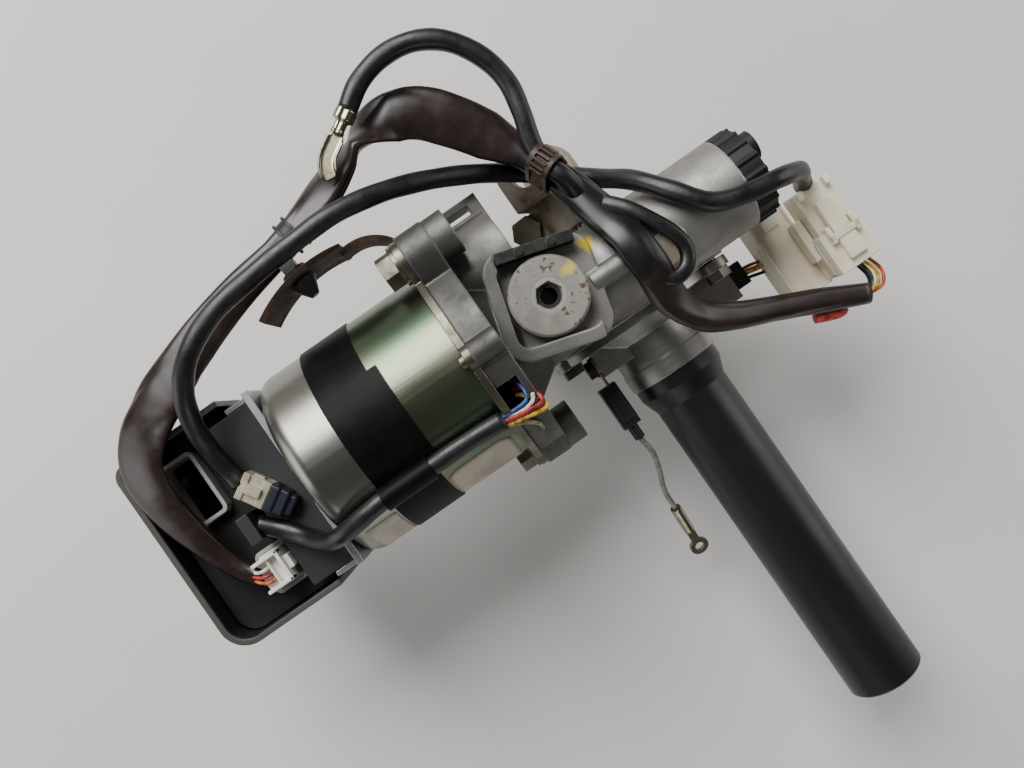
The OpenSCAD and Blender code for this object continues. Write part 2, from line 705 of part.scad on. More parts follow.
// Black tape wound round the can and over the motor lead
module motor_tape() {
    mid_x = -119;
    band_d = motor_d + 2 * tape_t;
    lead_y = motor_route[2][1];
    lead_z = motor_route[2][2];
    color("#141416") from_pivot() difference() {
        union() {
            rod_x(mid_x - tape_w / 2, mid_x + tape_w / 2, band_d);
            rod_x(mid_x - tape_w / 2, mid_x + tape_w / 2, motor_lead_d + 2 * tape_t + 0.8, y = lead_y, z = lead_z);
            translate([mid_x - tape_w / 2, 0, worm_z]) rotate([0, 90, 0]) rotate(155)
                rotate_extrude(angle = 60) translate([motor_d / 2 - 1, 0]) square([1 + 1.6 * tape_t, tape_w + 4]);
        }
        rod_x(mid_x - tape_w, mid_x + tape_w, motor_d + 2 * slide_fit);
        rod_x(mid_x - tape_w, mid_x + tape_w, motor_lead_d + 0.8, y = lead_y, z = lead_z);
    }
}

// Pressed aluminium bracket between the motor's tail and the control unit
module ecu_bracket() {
    color("#c9cbcc") from_pivot() difference() {
        union() {
            slab([cover_front, -leg_out, tray_low + 8], [motor_rear, leg_out, tray_low + 58]);
            for (side = [-1, 1])
                translate([0, side * (leg_out - leg_t / 2), 0])
                    slab([tray_front + 0.5, -leg_t / 2, tray_low + 12], [motor_rear - over, leg_t / 2, deck_high]);
        }
        rod_x(cover_front - over, motor_rear + over, 24);
        for (side = [-1, 1])
            rod_x(cover_front - over, motor_rear + over, 4.4, y = 28 * side);
    }
}

// Outline of the tray in plan: a rectangle with one wide and one tight rear corner
module tray_outline(inset) {
    w = tray_w - 2 * inset;
    wide = 12 - inset;
    tight = 6 - inset;
    x0 = tray_rear + inset;
    y0 = tray_mid_y - w / 2;
    difference() {
        translate([x0, y0]) square([tray_front - x0, w]);
        corner_cut(x0, y0, 1, wide);
        corner_cut(x0, y0 + w, -1, tight);
    }
}

// Square corner left over outside a rounded corner of radius r
module corner_cut(x, y, side, r) {
    difference() {
        translate([x - over, side > 0 ? y - over : y - r]) square([r + over, r + over]);
        translate([x + r, y + side * r]) circle(r);
    }
}

// Black moulded tray around the control unit, open on top and towards the motor
module ecu_tray() {
    floor_t = 2.5;
    color("#1a1a1c") from_pivot() difference() {
        translate([0, 0, tray_low]) linear_extrude(tray_h) tray_outline(0);
        translate([0, 0, tray_low + floor_t]) linear_extrude(tray_h) {
            tray_outline(tray_wall);
            translate([tray_front - 5, tray_mid_y - tray_w / 2 + tray_wall]) square([10, tray_w - 2 * tray_wall]);
        }
        // Lower front corner of the side wall, cut back where the harness turns
        translate([tray_front + over, -tray_w, tray_top + over]) rotate([0, 45, 0]) cube([8, 2 * tray_w, 8]);
    }
}

// Heat-sink base on the tray's floor
module ecu_base() {
    floor_top = tray_low + 2.5;
    color("#8d9092") from_pivot() difference() {
        translate([0, 0, floor_top]) linear_extrude(base_t) {
            tray_outline(tray_wall + tray_room);
            translate([tray_front - over, -leg_out + leg_t + 0.4])
                square([cover_front - tray_front, 2 * (leg_out - leg_t - 0.4)]);
        }
        for (y = [-30:10:30])
            slab([tray_rear + 8, y - 2, floor_top + 3], [cover_front - 8, y + 2, floor_top + base_t + over]);
    }
}

// Circuit board on four posts, with its capacitors and relays
module ecu_board() {
    z0 = tray_low + 2.5 + base_t;
    color("#2f6b3c") from_pivot() {
        slab([tray_rear + 12, -30, z0 + 4], [cover_front - 6, 30, z0 + 4 + board_t]);
        for (x = [tray_rear + 16, cover_front - 10], y = [-25, 25])
            rod_z(z0, z0 + 4 + over, 5, x, y);
        for (y = [-18, 18])
            rod_z(z0 + 4 + board_t - over, z0 + 15, 11, cover_front - 18, y);
        slab([tray_rear + 20, -10, z0 + 4 + board_t - over], [tray_rear + 38, 8, z0 + 12]);
    }
}

// Dark grey cover with a raised deck, two connector openings and the cable gland
module ecu_cover() {
    z0 = tray_low + 2.5 + base_t;
    half_front = leg_out - leg_t - 0.4;
    color("#3b3d40") from_pivot() difference() {
        union() {
            cover_shape(z0, deck_low, 0);
            slab([step_x, -half_front, deck_low - over], [cover_front, half_front, deck_high]);
            translate([motor_route[9][0] - 5, motor_route[9][1] - 6, deck_low - over])
                cube([5, 12, motor_route[9][2] + 6 - deck_low]);
        }
        cover_shape(z0 - over, deck_low - cover_wall, cover_wall);
        slab([step_x + cover_wall, -half_front + cover_wall, deck_low - cover_wall - over],
            [cover_front - cover_wall, half_front - cover_wall, deck_high - cover_wall]);
        for (s = [[socket_a, 18, 30], [socket_b, 16, 20]])
            translate([s[0][0], s[0][1], deck_low - cover_wall - over])
                linear_extrude(cover_wall + 2 * over) round_rect(s[1], s[2], 3);
    }
}

// Plan of the cover: wide inside the tray, narrow between the bracket's legs
module cover_shape(z0, z1, inset) {
    half = leg_out - leg_t - 0.4 - inset;
    translate([0, 0, z0]) linear_extrude(z1 - z0) {
        tray_outline(tray_wall + tray_room + inset);
        translate([tray_front - over - inset, -half]) square([cover_front - tray_front + over, 2 * half]);
    }
}

// Grey connector shells that stand in the cover's two openings
module ecu_sockets() {
    color("#b9bab6") from_pivot() for (s = [[socket_a, 17.6, 29.6, 7], [socket_b, 15.6, 19.6, 4]])
        translate([s[0][0], s[0][1], deck_low - 8]) linear_extrude(8 + s[3]) difference() {
            round_rect(s[1], s[2], 2.8);
            round_rect(s[1] - 3.2, s[2] - 3.2, 1.6);
        }
}

// White plug in the second socket, with the latch on its side
module ecu_plug() {
    color("#e9e7de") from_pivot() {
        translate([socket_b[0], socket_b[1], deck_low - 7]) linear_extrude(12) round_rect(12, 16, 1.2);
        translate([socket_b[0], socket_b[1], deck_low + 5 - over]) linear_extrude(13.5) round_rect(12, 14, 1.2);
        slab([socket_b[0] + 6 - over, socket_b[1] - 3, deck_low + 6], [socket_b[0] + 8, socket_b[1] + 3, deck_low + 15]);
    }
}

// In-line coupler on the deck: a cream half on the signal cable and a dark blue half
module sensor_coupler() {
    tip = cable_route[0];
    aim = atan2(-21, 13);
    color("#d9d2bd") from_pivot() translate(tip) rotate(aim) {
        slab([0, -5.5, -5.5], [12, 5.5, 4]);
        slab([2, -2, 4 - over], [9, 2, 5.6]);
    }
    color("#1f2a44") from_pivot() translate(tip) rotate(aim) {
        slab([12, -5.6, -deck_gap(tip)], [23, 5.6, 4.6]);
    }
}
function deck_gap(tip) = tip[2] - deck_high;

// Dark steel bar riveted along the open side of the pivot pocket
module pivot_stop_bar() {
    color("#2c2f36") from_pivot() translate([pivot[0], pivot[1], 0]) rotate(pocket_turn) {
        slab([-15.5, 17.2, pocket_floor], [16, pocket_w / 2 - 0.4, pocket_floor + 9]);
        for (x = [-6, 7])
            rod_z(pocket_floor + 9 - over, pocket_floor + 10.2, 3.6, x, 19.4);
    }
}

// Bent and rusted steel strap with the plate that carries the harness clip
module cable_bracket() {
    strip_t = 2.5;
    strap_low = worm_z + 2;
    arc_at = [-88, 47];
    strap_r = 20;
    color("#6e4a33") from_pivot() difference() {
        union() {
            translate([arc_at[0], arc_at[1], strap_low]) rotate(35)
                rotate_extrude(angle = 70) translate([strap_r - strip_t, 0]) square([strip_t, 14]);
            translate([arc_at[0], arc_at[1], strap_low]) rotate(35)
                translate([strap_r - strip_t, -7, 0]) cube([strip_t, 7 + over, 14]);
            translate([plate_at[0], plate_at[1], strap_low - 6]) rotate(78)
                rotate_extrude(angle = 43) translate([plate_r - strip_t, 0]) square([strip_t, 26]);
            slab([-74, 50.2, strap_low], [-pivot_out - 16, 57, strap_low + strip_t]);
        }
        rod_z(strap_low - over, strap_low + strip_t + over, 4 + 2 * bolt_room, strap_screw[0], strap_screw[1]);
        translate([plate_at[0], plate_at[1], clip_z]) rotate(clip_turn) rod_y(plate_r - 10, plate_r + 5, 8.4);
    }
}

// Station of the harness clip on the bracket's plate, as a turn about the plate's bend
plate_at = [-103, 9];
plate_r = 60;
clip_turn = 8.6;
clip_z = 57;

// Push-in clip: barbed stud through the plate and a saddle under the sleeve
module cable_clip() {
    color("#171718") from_pivot() translate([plate_at[0], plate_at[1], clip_z]) rotate(clip_turn) {
        rod_y(plate_r, plate_r + 2, 11);
        rod_y(plate_r - 7, plate_r + over, 7.6);
        translate([0, plate_r - 4, 0]) rotate([90, 0, 0]) cylinder(d1 = 12, d2 = 4, h = 7);
        difference() {
            slab([-3, plate_r + 2 - over, -5], [3, plate_r + 8, 5]);
            translate([2, 72, 1]) rotate([0, 90, 5]) cylinder(d = sleeve_d + 0.8, h = 30, center = true);
        }
    }
}

// Releasable brown tie round the loom over the yoke, and a plain band by the clip
module harness_ties() {
    color("#4b352b") from_pivot() {
        loom_band(sleeve_route[20], sleeve_route[21], 0.5, 9, 10.6);
        loom_band(sleeve_route[12], sleeve_route[13], 0.6, 6, 0);
    }
}

// Band of width w round the sleeve, a share of the way from p to q; rise makes room for a lead on top
module loom_band(p, q, share, w, rise) {
    run = q - p;
    band_t = 1.2;
    bore = sleeve_d + 0.6;
    lead_bore = lead_d + 1.6;
    translate(p + share * run) rotate([0, acos(run[2] / norm(run)), atan2(run[1], run[0])]) difference() {
        band_shape(bore + 2 * band_t, lead_bore + 2 * band_t, w, rise);
        band_shape(bore, lead_bore, w + 2 * over, rise);
    }
}
module band_shape(d, lead_span, w, rise) {
    cylinder(d = d, h = w, center = true);
    if (rise > 0) {
        translate([-rise, 0, 0]) cylinder(d = lead_span, h = w, center = true);
        translate([-rise, -lead_span / 2, -w / 2]) cube([rise, lead_span, w]);
    }
}

// Tube swept along a route: one ring of corners at each point, square to the path
function unit(v) = v / norm(v);
function path_dir(p, i) = unit(p[min(i + 1, len(p) - 1)] - p[max(i - 1, 0)]);
function ring_at(p, i, r, n) =
    let (t = path_dir(p, i), side = unit(cross(t, [0, 0, 1])), up = cross(side, t))
    [for (k = [0:n - 1]) p[i] + r * (cos(360 * k / n) * side + sin(360 * k / n) * up)];
module swept_tube(route, d, n) {
    last = len(route) - 1;
    points = [for (i = [0:last]) each ring_at(route, i, d / 2, n)];
    sides = [for (i = [0:last - 1], k = [0:n - 1])
        let (a = i * n + k, b = i * n + (k + 1) % n)
        each [[a, b, a + n], [b, b + n, a + n]]];
    caps = [[for (k = [n - 1:-1:0]) k], [for (k = [0:n - 1]) last * n + k]];
    polyhedron(points, concat(sides, caps));
}

// Main loom sleeve, from the control unit's plug over the yoke to the plug blocks
module harness_sleeve() {
    color("#2c201d") from_pivot() swept_tube(sleeve_route, sleeve_d, 10);
}

// Signal cable, from the coupler on the deck to the upper plug block
module signal_cable() {
    color("#161617") from_pivot() swept_tube(cable_route, cable_d, 8);
}

// Power lead that leaves the loom at the tie and ends in a bent tongue terminal
module power_lead() {
    color("#151516") from_pivot() swept_tube(lead_route, lead_d, 8);
}

// Motor lead along the can, under the tape and into the gland
module motor_lead() {
    color("#141415") from_pivot() swept_tube(motor_route, motor_lead_d, 8);
}

// Tinned terminal on the power lead: crimp barrel and a tongue bent round
module power_terminal() {
    tip = lead_route[len(lead_route) - 1];
    aim = atan2(-6, -10);
    color("#c4c6c8") from_pivot() translate(tip) rotate(aim) {
        rotate([0, 90, 0]) cylinder(d = lead_d + 0.6, h = 5);
        translate([5 - over, 0, 0]) rotate([0, 90, 0]) cylinder(d = 5, h = 5);
        translate([9, 0, -2.4]) {
            translate([0, -3.5, 0]) cube([8, 7, 1.6]);
            translate([8, 12, 0]) rotate(-90) rotate_extrude(angle = 60) translate([8.5, 0]) square([7, 1.6]);
        }
    }
}

// Hexagon screw that clamps the ground lead's tongue to the collar
module ground_screw() {
    color("#34363a") from_pivot() translate([-31.2, ground_y, ground_z]) rotate([0, 90, 0]) {
        translate([0, 0, -4]) cylinder(d = 9.2, h = 4, $fn = 6);
        translate([0, 0, -1]) cylinder(d = 9.8, h = 1);
        translate([0, 0, -over]) cylinder(d = 5, h = 9);
    }
}

// Ring tongue under the ground screw
module ground_tongue() {
    color("#b8babb") from_pivot() difference() {
        union() {
            rod_x(-31.2, -30, 10, y = ground_y, z = ground_z);
            slab([-31.2, -44, ground_z - 3], [-30, ground_y, ground_z + 3]);
        }
        rod_x(-32, -29, 5 + 2 * bolt_room, y = ground_y, z = ground_z);
    }
}

// Black moulded cover of the ground lead's joint, and the crimp behind it
module ground_block() {
    wire = ground_route[0];
    color("#18181a") from_pivot() {
        difference() {
            union() {
                slab([-36, -63, ground_z - 5], [-27.5, -42, ground_z + 4.5]);
                slab([-34.5, -60, ground_z + 4.5 - over], [-29, -46, ground_z + 6]);
            }
            slab([-31.3, -44, ground_z - 3.1], [-29.9, -42 + over, ground_z + 3.1]);
        }
        rod_y(wire[1], -63 + over, 5, wire[0], wire[2]);
    }
}

// Ground wire that droops beside the tube
module ground_wire() {
    color("#8e8c86") from_pivot() swept_tube(ground_route, ground_d, 8);
}

// Crimp sleeve and ring terminal at the ground wire's free end
module ground_terminal() {
    tip = ground_route[4];
    run = tip - ground_route[3];
    eye = 28;
    barrel = 16;
    color("#77797b") from_pivot() translate(tip) rotate([0, -asin(run[2] / norm(run)), atan2(run[1], run[0])]) {
        rotate([0, 90, 0]) cylinder(d = 5.4, h = barrel);
        difference() {
            union() {
                slab([barrel - 1, -2.2, -0.7], [eye - 2, 2.2, 0.7]);
                translate([eye, 0, -0.7]) cylinder(d = 9.6, h = 1.4);
            }
            translate([eye, 0, -1]) cylinder(d = 4.4, h = 2);
        }
    }
}

// Translucent lower plug block under the cap's foot
module plug_block_lower() {
    color("#e4e3dc") from_pivot() difference() {
        slab([59, -60, 1], [77, -8, plug_top]);
        for (x = [62.5, 70.5])
            slab([x, -60 - over, 5], [x + 5, -50, plug_top - 4]);
    }
}

// White upper plug block with its latch, clipped on the lower one
module plug_block_upper() {
    end_y = cable_route[23][1] - 1;
    color("#eceae2") from_pivot() difference() {
        union() {
            slab([76, end_y - 40, plug_top], [96, end_y, plug_top + 17]);
            slab([73, end_y - 30, plug_top], [76 + over, end_y - 10, plug_top + 8]);
            slab([81, end_y - 34, plug_top + 17 - over], [91, end_y - 6, plug_top + 20]);
        }
        for (x = [79, 87])
            slab([x, end_y - 40 - over, plug_top + 4], [x + 6, end_y - 31, plug_top + 13]);
    }
}

// White pivot bushes above and below the casting
module pivot_bushes() {
    edge = 1;
    color("#e3e1d8") from_pivot() translate([pivot[0], pivot[1], 0]) {
        translate([0, 0, pivot_top]) mirror([0, 0, 1]) pivot_bush(edge);
        translate([0, 0, -pivot_bottom]) pivot_bush(edge);
    }
}

// One bush: a disc with a softened outer edge and a bore for the insert's head
module pivot_bush(edge) {
    rotate_extrude() polygon([[insert_d / 2 + slide_fit, 0], [bush_d / 2 - edge, 0], [bush_d / 2, edge],
        [bush_d / 2, bush_t], [insert_d / 2 + slide_fit, bush_t]]);
}

// Steel inserts: head in the bush, stem in the casting, hexagon mouth and thread
module pivot_inserts() {
    color("#5b5d60") from_pivot() translate([pivot[0], pivot[1], 0]) {
        translate([0, 0, pivot_top]) mirror([0, 0, 1]) pivot_insert();
        translate([0, 0, -pivot_bottom]) pivot_insert();
    }
}
module pivot_insert() {
    total = bush_t + seat_gap + insert_depth - 0.5;
    difference() {
        union() {
            cylinder(d = insert_d, h = bush_t);
            cylinder(d = stem_d, h = total);
        }
        translate([0, 0, -over]) cylinder(d = 10 / cos(30), h = hex_mouth + over, $fn = 6);
        translate([0, 0, hex_mouth - over]) cylinder(d = thread_d, h = total);
    }
}

// Output shaft: splined end, bearing journal, wheel seat and the cup with two stop lugs
module output_shaft() {
    spline_end = seal_face + 26;
    cup_front = hub_rear;
    cup_rear = hub_rear - cup_depth;
    color("#8c8a86") from_pivot() difference() {
        union() {
            rod_y(hub_front - over, spline_end, journal_d);
            rod_y(hub_rear - over, hub_front, seat_d);
            difference() {
                rod_y(cup_rear, cup_front, cup_d);
                rod_y(cup_rear - over, cup_front - 2.5, dog_d + 2 * seat_gap);
            }
            for (turn = [0, 180])
                rotate([0, turn, 0]) slab([dog_d / 2 - 3, cup_rear, -lug_w / 2], [cup_d / 2 - 1, cup_front - 2, lug_w / 2]);
        }
        rod_y(cup_rear - over, hub_front + 2, torsion_d + 2 * slide_fit);
        for (turn = [0:15:345])
            rotate([0, turn, 0]) rod_y(seal_face + 1, spline_end + over, 1.5, x = journal_d / 2 + 0.25);
    }
}

// Steel hub of the worm wheel
module wheel_hub() {
    hub_d = 2 * wheel_r - 2 * dedendum - 14;
    color("#7d7f82") from_pivot() difference() {
        union() {
            rod_y(-wheel_face / 2 + 2, wheel_face / 2 - 2, hub_d);
            rod_y(hub_rear, hub_front, seat_d + 10);
        }
        rod_y(hub_rear - over, hub_front + over, seat_d + 2 * slide_fit);
        for (turn = [0:60:300])
            rotate([0, turn, 0]) rod_y(-wheel_face, wheel_face, 5, x = hub_d / 2 - 4.5);
    }
}

// Involute angle function and half width of a wheel tooth at radius r, in degrees
function involute(a) = tan(a) * 180 / PI - a;
function wheel_half(r) = 90 / wheel_teeth - mesh_play / 4 / wheel_r * 180 / PI + involute(flank_angle)
    - involute(acos(min(1, wheel_r * cos(flank_angle) / r)));

// Moulded nylon rim with helical teeth that match the worm's lead
module wheel_rim() {
    hub_d = 2 * wheel_r - 2 * dedendum - 14;
    radii = [wheel_r - dedendum, wheel_r - dedendum / 3, wheel_r + addendum / 3, wheel_tip_r];
    step = 360 / wheel_teeth;
    outline = [for (i = [0:wheel_teeth - 1])
        let (mid = 90 + (i + 0.5) * step)
        each concat([for (r = radii) let (a = mid - wheel_half(r)) [r * cos(a), r * sin(a)]],
            [for (k = [3:-1:0]) let (r = radii[k], a = mid + wheel_half(r)) [r * cos(a), r * sin(a)]])];
    color("#d9cfae") from_pivot() difference() {
        rotate([90, 0, 0]) rotate(-wheel_twist / 2)
            linear_extrude(wheel_face, center = true, twist = -wheel_twist, slices = 4) polygon(outline);
        rod_y(-wheel_face, wheel_face, hub_d + 2 * slide_fit);
    }
}

// Inner ring of the output bearing
module output_bearing_ring() {
    color("#c2c4c6") from_pivot()
        at_output_bearing() bearing_inner(journal_d + 2 * slide_fit, bearing_d, bearing_w);
}

// Forged joint yoke: clamp barrel, web and two ears bored for the cross
module yoke() {
    y0 = seal_face + 4;
    y1 = y0 + 20;
    ear_y = y1 + 12;
    ear_w = 26;
    gap_y = ear_y - cross_d / 2 - 1;
    color("#9a8f86") from_pivot() rotate([0, yoke_turn, 0]) difference() {
        union() {
            rod_y(y0, y1 + 2, 29);
            intersection() {
                slab([-yoke_span / 2, y1 - 2, -ear_w / 2], [yoke_span / 2, ear_y + ear_w, ear_w / 2]);
                union() {
                    rod_x(-yoke_span, yoke_span, ear_w, y = ear_y, z = 0);
                    slab([-yoke_span, y1 - 2, -ear_w / 2], [yoke_span, ear_y, ear_w / 2]);
                }
                rod_z(-ear_w, ear_w, 2 * norm([yoke_span / 2 + 0.5, 9]), 0, ear_y - 4);
            }
            slab([-11, y0 + 4, -23], [11, y0 + 17, -8]);
        }
        rod_y(y0 - over, y1 + 10, journal_d + 2 * slide_fit);
        slab([-yoke_span / 2 + ear_t, gap_y, -ear_w], [yoke_span / 2 - ear_t, ear_y + ear_w, ear_w]);
        rod_x(-yoke_span, yoke_span, cross_d, y = ear_y, z = 0);
        slab([-1.5, y0 - over, -24], [1.5, y1 + 1, -journal_d / 2 + 2]);
        rod_x(-12, 12, bolt_d + 2 * bolt_room, y = y0 + 10.5, z = pinch_z);
    }
}

// Height of the pinch bolt against the yoke's axis
pinch_z = -16.8;

// Pinch bolt and nut across the yoke's slit
module yoke_bolt() {
    y0 = seal_face + 4;
    color("#6f6a60") from_pivot() rotate([0, yoke_turn, 0]) translate([0, y0 + 10.5, pinch_z]) rotate([0, 90, 0]) {
        translate([0, 0, -11 - 5.5]) cylinder(d = bolt_hex / cos(30), h = 5.5, $fn = 6);
        translate([0, 0, -11 - over]) cylinder(d = bolt_d, h = 22 + 2 * over);
        translate([0, 0, 11]) cylinder(d = bolt_hex / cos(30), h = 6.5, $fn = 6);
    }
}

// Torsion bar, pinned in the output shaft and turning in the steering shaft
module torsion_bar() {
    color("#a3a6a9") from_pivot() rod_y(collar_end - 12, hub_front + 1.5, torsion_d);
}

// Steering shaft: dog end in the cup, bore for the torsion bar, serrated mouth end
module steering_shaft() {
    cup_rear = hub_rear - cup_depth;
    dog_front = hub_rear - 2.5 - seat_gap;
    notch = lug_w + 2 * (dog_d / 2 * tan(twist_limit) + 0.5);
    color("#84868a") from_pivot() difference() {
        union() {
            rod_y(shaft_end, cup_rear - 1, shaft_d);
            rod_y(cup_rear - 1 - over, cup_rear + over, shaft_d - 2);
            rod_y(cup_rear, dog_front, dog_d);
        }
        for (turn = [0, 180])
            rotate([0, turn, 0])
                slab([dog_d / 2 - 3 - 0.5, cup_rear - 0.5, -notch / 2], [cup_d, dog_front + over, notch / 2]);
        rod_y(collar_end - 13, dog_front + over, torsion_d + 2 * slide_fit);
        for (turn = [0:15:345])
            rotate([0, turn, 0]) rod_y(shaft_end - over, shaft_end + 10, 1.4, x = shaft_d / 2 + 0.25);
    }
}

// Magnet ring of the torque sensor on the steering shaft
module torque_ring() {
    color("#55585c") from_pivot()
        ring_y(coil_rear + 3, coil_rear + coil_w - 3, coil_bore - 1, shaft_d + 2 * slide_fit);
}

// Motor shaft
module rotor_shaft() {
    color("#a9acaf") from_pivot() rod_x(motor_rear + can_wall + 1, -54, motor_shaft_d);
}

// Laminated armature with slots, and the commutator in front of it
module armature() {
    core_d = motor_d - 2 * can_wall - 14;
    x0 = motor_rear + 17;
    x1 = motor_front - 15;
    color("#7a4a2b") from_pivot() {
        difference() {
            ring_x(x0, x1, core_d, motor_shaft_d + 2 * slide_fit);
            for (turn = [0:30:330])
                translate([0, 0, worm_z]) rotate([turn, 0, 0]) slab([x0 - over, -1.5, core_d / 2 - 9], [x1 + over, 1.5, core_d]);
        }
        ring_x(x1, motor_front - 5, 28, motor_shaft_d + 2 * slide_fit);
    }
}

// Sleeve that couples the motor shaft to the worm
module shaft_coupling() {
    color("#515357") from_pivot() difference() {
        ring_x(-66, -49, coupling_d, motor_shaft_d + 2 * slide_fit);
        for (turn = [0, 90])
            translate([0, 0, worm_z]) rotate([turn, 0, 0]) slab([-58.5, -coupling_d, -1], [-57, coupling_d, 1]);
    }
}

// Half width of the worm's thread at radius r, as an angle in its cross-section
function worm_half(r) = 360 / worm_lead * (axial_pitch / 4 - mesh_play / 4 - (r - worm_r) * tan(flank_angle));

// Worm with its threaded middle, two bearing journals and the coupling end
module worm() {
    radii = [for (k = [0:4]) worm_root_r + k * (worm_tip_r - worm_root_r) / 4];
    section = [for (s = [0:worm_starts - 1])
        let (mid = s * 360 / worm_starts)
        each concat([for (r = radii) let (a = mid - worm_half(r)) [r * cos(a), r * sin(a)]],
            [for (k = [-1:1]) let (a = mid + k * worm_half(worm_tip_r) / 2) [worm_tip_r * cos(a), worm_tip_r * sin(a)]],
            [for (k = [4:-1:0]) let (r = radii[k], a = mid + worm_half(r)) [r * cos(a), r * sin(a)]])];
    turns = worm_len / worm_lead;
    color("#9fa3a6") from_pivot() {
        translate([0, 0, worm_z]) rotate([0, 90, 0]) rotate(-180 * turns)
            linear_extrude(worm_len, center = true, twist = -360 * turns, slices = ceil(18 * turns)) polygon(section);
        rod_x(worm_left - worm_bearing_w, -worm_len / 2 + 1, worm_journal_d);
        rod_x(worm_len / 2 - 1, worm_right + worm_bearing_w - 0.5, worm_journal_d);
        rod_x(worm_left, worm_left + 3, worm_journal_d + 3);
        rod_x(worm_right - 3, worm_right, worm_journal_d + 3);
        rod_x(-53.5, worm_left - worm_bearing_w + 1, motor_shaft_d);
    }
}

// Inner rings of the worm's and the motor's bearings
module rotor_bearing_rings() {
    color("#c2c4c6") from_pivot() {
        at_worm_bearings() bearing_inner(worm_journal_d + 2 * slide_fit, worm_bearing_d, worm_bearing_w);
        at_motor_bearing() bearing_inner(motor_shaft_d + 2 * slide_fit, motor_bearing_d, motor_bearing_w);
    }
}

gear_housing();
sensor_housing();
housing_bolts();
column_tube();
tube_bush();
needle_bush();
bearing_outer_rings();
bearing_balls();
output_seal();
worm_adjuster();
worm_end_cap();
torque_coil();
sensor_plug();
motor_end_plate();
motor_can();
motor_magnets();
brush_plate();
motor_bolts();
pan_screws();
motor_tape();
motor_lead();
ecu_bracket();
ecu_base();
ecu_board();
ecu_cover();
ecu_tray();
ecu_sockets();
ecu_plug();
sensor_coupler();
pivot_stop_bar();
cable_bracket();
cable_clip();
harness_ties();
harness_sleeve();
signal_cable();
power_lead();
power_terminal();
ground_screw();
ground_tongue();
ground_block();
ground_wire();
ground_terminal();
plug_block_lower();
plug_block_upper();
pivot_bushes();
pivot_inserts();
output_shaft();
wheel_hub();
wheel_rim();
output_bearing_ring();
yoke();
yoke_bolt();
torsion_bar();
steering_shaft();
torque_ring();
rotor_shaft();
armature();
shaft_coupling();
worm();
rotor_bearing_rings();
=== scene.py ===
import math

import bmesh
import bpy
import numpy as np
from mathutils import Matrix, Vector


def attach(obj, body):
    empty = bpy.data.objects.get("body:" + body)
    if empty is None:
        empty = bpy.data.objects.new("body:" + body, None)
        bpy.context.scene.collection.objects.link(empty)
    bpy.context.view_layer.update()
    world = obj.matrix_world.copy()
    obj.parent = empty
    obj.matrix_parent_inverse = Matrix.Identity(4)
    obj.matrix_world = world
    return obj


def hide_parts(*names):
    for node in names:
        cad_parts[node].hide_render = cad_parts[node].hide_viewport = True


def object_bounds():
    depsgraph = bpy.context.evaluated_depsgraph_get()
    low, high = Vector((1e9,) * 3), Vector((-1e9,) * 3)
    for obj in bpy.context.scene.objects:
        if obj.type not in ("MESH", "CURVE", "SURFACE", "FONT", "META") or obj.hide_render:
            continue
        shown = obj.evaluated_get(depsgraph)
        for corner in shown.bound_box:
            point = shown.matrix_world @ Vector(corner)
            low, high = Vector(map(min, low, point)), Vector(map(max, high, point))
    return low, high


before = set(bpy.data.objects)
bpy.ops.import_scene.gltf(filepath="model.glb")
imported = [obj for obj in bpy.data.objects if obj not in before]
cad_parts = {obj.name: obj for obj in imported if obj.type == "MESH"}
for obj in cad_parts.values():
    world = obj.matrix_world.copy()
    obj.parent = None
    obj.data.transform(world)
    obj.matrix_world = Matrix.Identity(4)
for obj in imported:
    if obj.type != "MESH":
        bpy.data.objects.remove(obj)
cad_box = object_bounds()


# Camera: it looks straight down on the column from about a third of a metre above the pivot,
# turned so that the motor points to the lower left and the tube to the lower right.
def into_scene(name, data):
    """Object in the scene that shows a mesh, a camera or a light."""
    made = bpy.data.objects.new(name, data)
    bpy.context.scene.collection.objects.link(made)
    return made


film_mm, focal_px, picture_px = 36.0, 900, 1024
lens_data = bpy.data.cameras.new("camera")
lens_data.sensor_width = film_mm
lens_data.lens = film_mm * focal_px / picture_px
camera = into_scene("camera", lens_data)
camera.location = (-0.031, -0.0197, 0.3465)
camera.rotation_euler = (0, 0, math.radians(-34.75))
bpy.context.scene.camera = camera


# Main loom sleeve: soft brown vinyl tubing over many wires, flattened and creased, that runs from the
# control unit's plug past the clip, over the yoke and the worm tube to the plug blocks. Between the tie
# and the worm tube it is wound with black tape.
def from_column(x, y, z):
    """Point in metres from millimetres measured from the column axis under the worm."""
    return Vector((x + 35.0, y - 3.0, z - 71.5)) / 1000.0


def course(*stations):
    """Points in metres of several such stations."""
    return [from_column(*station) for station in stations]


def smooth_route(points, steps=6):
    """Curve through the points, with that many steps between each two."""
    ends = [points[0] * 2 - points[1], *points, points[-1] * 2 - points[-2]]
    route = []
    for a, b, c, d in zip(ends, ends[1:], ends[2:], ends[3:]):
        for k in range(steps):
            t = k / steps
            route.append(0.5 * (2 * b + (c - a) * t + (2 * a - 5 * b + 4 * c - d) * t * t
                                + (3 * b - a - 3 * c + d) * t ** 3))
    return [*route, points[-1]]


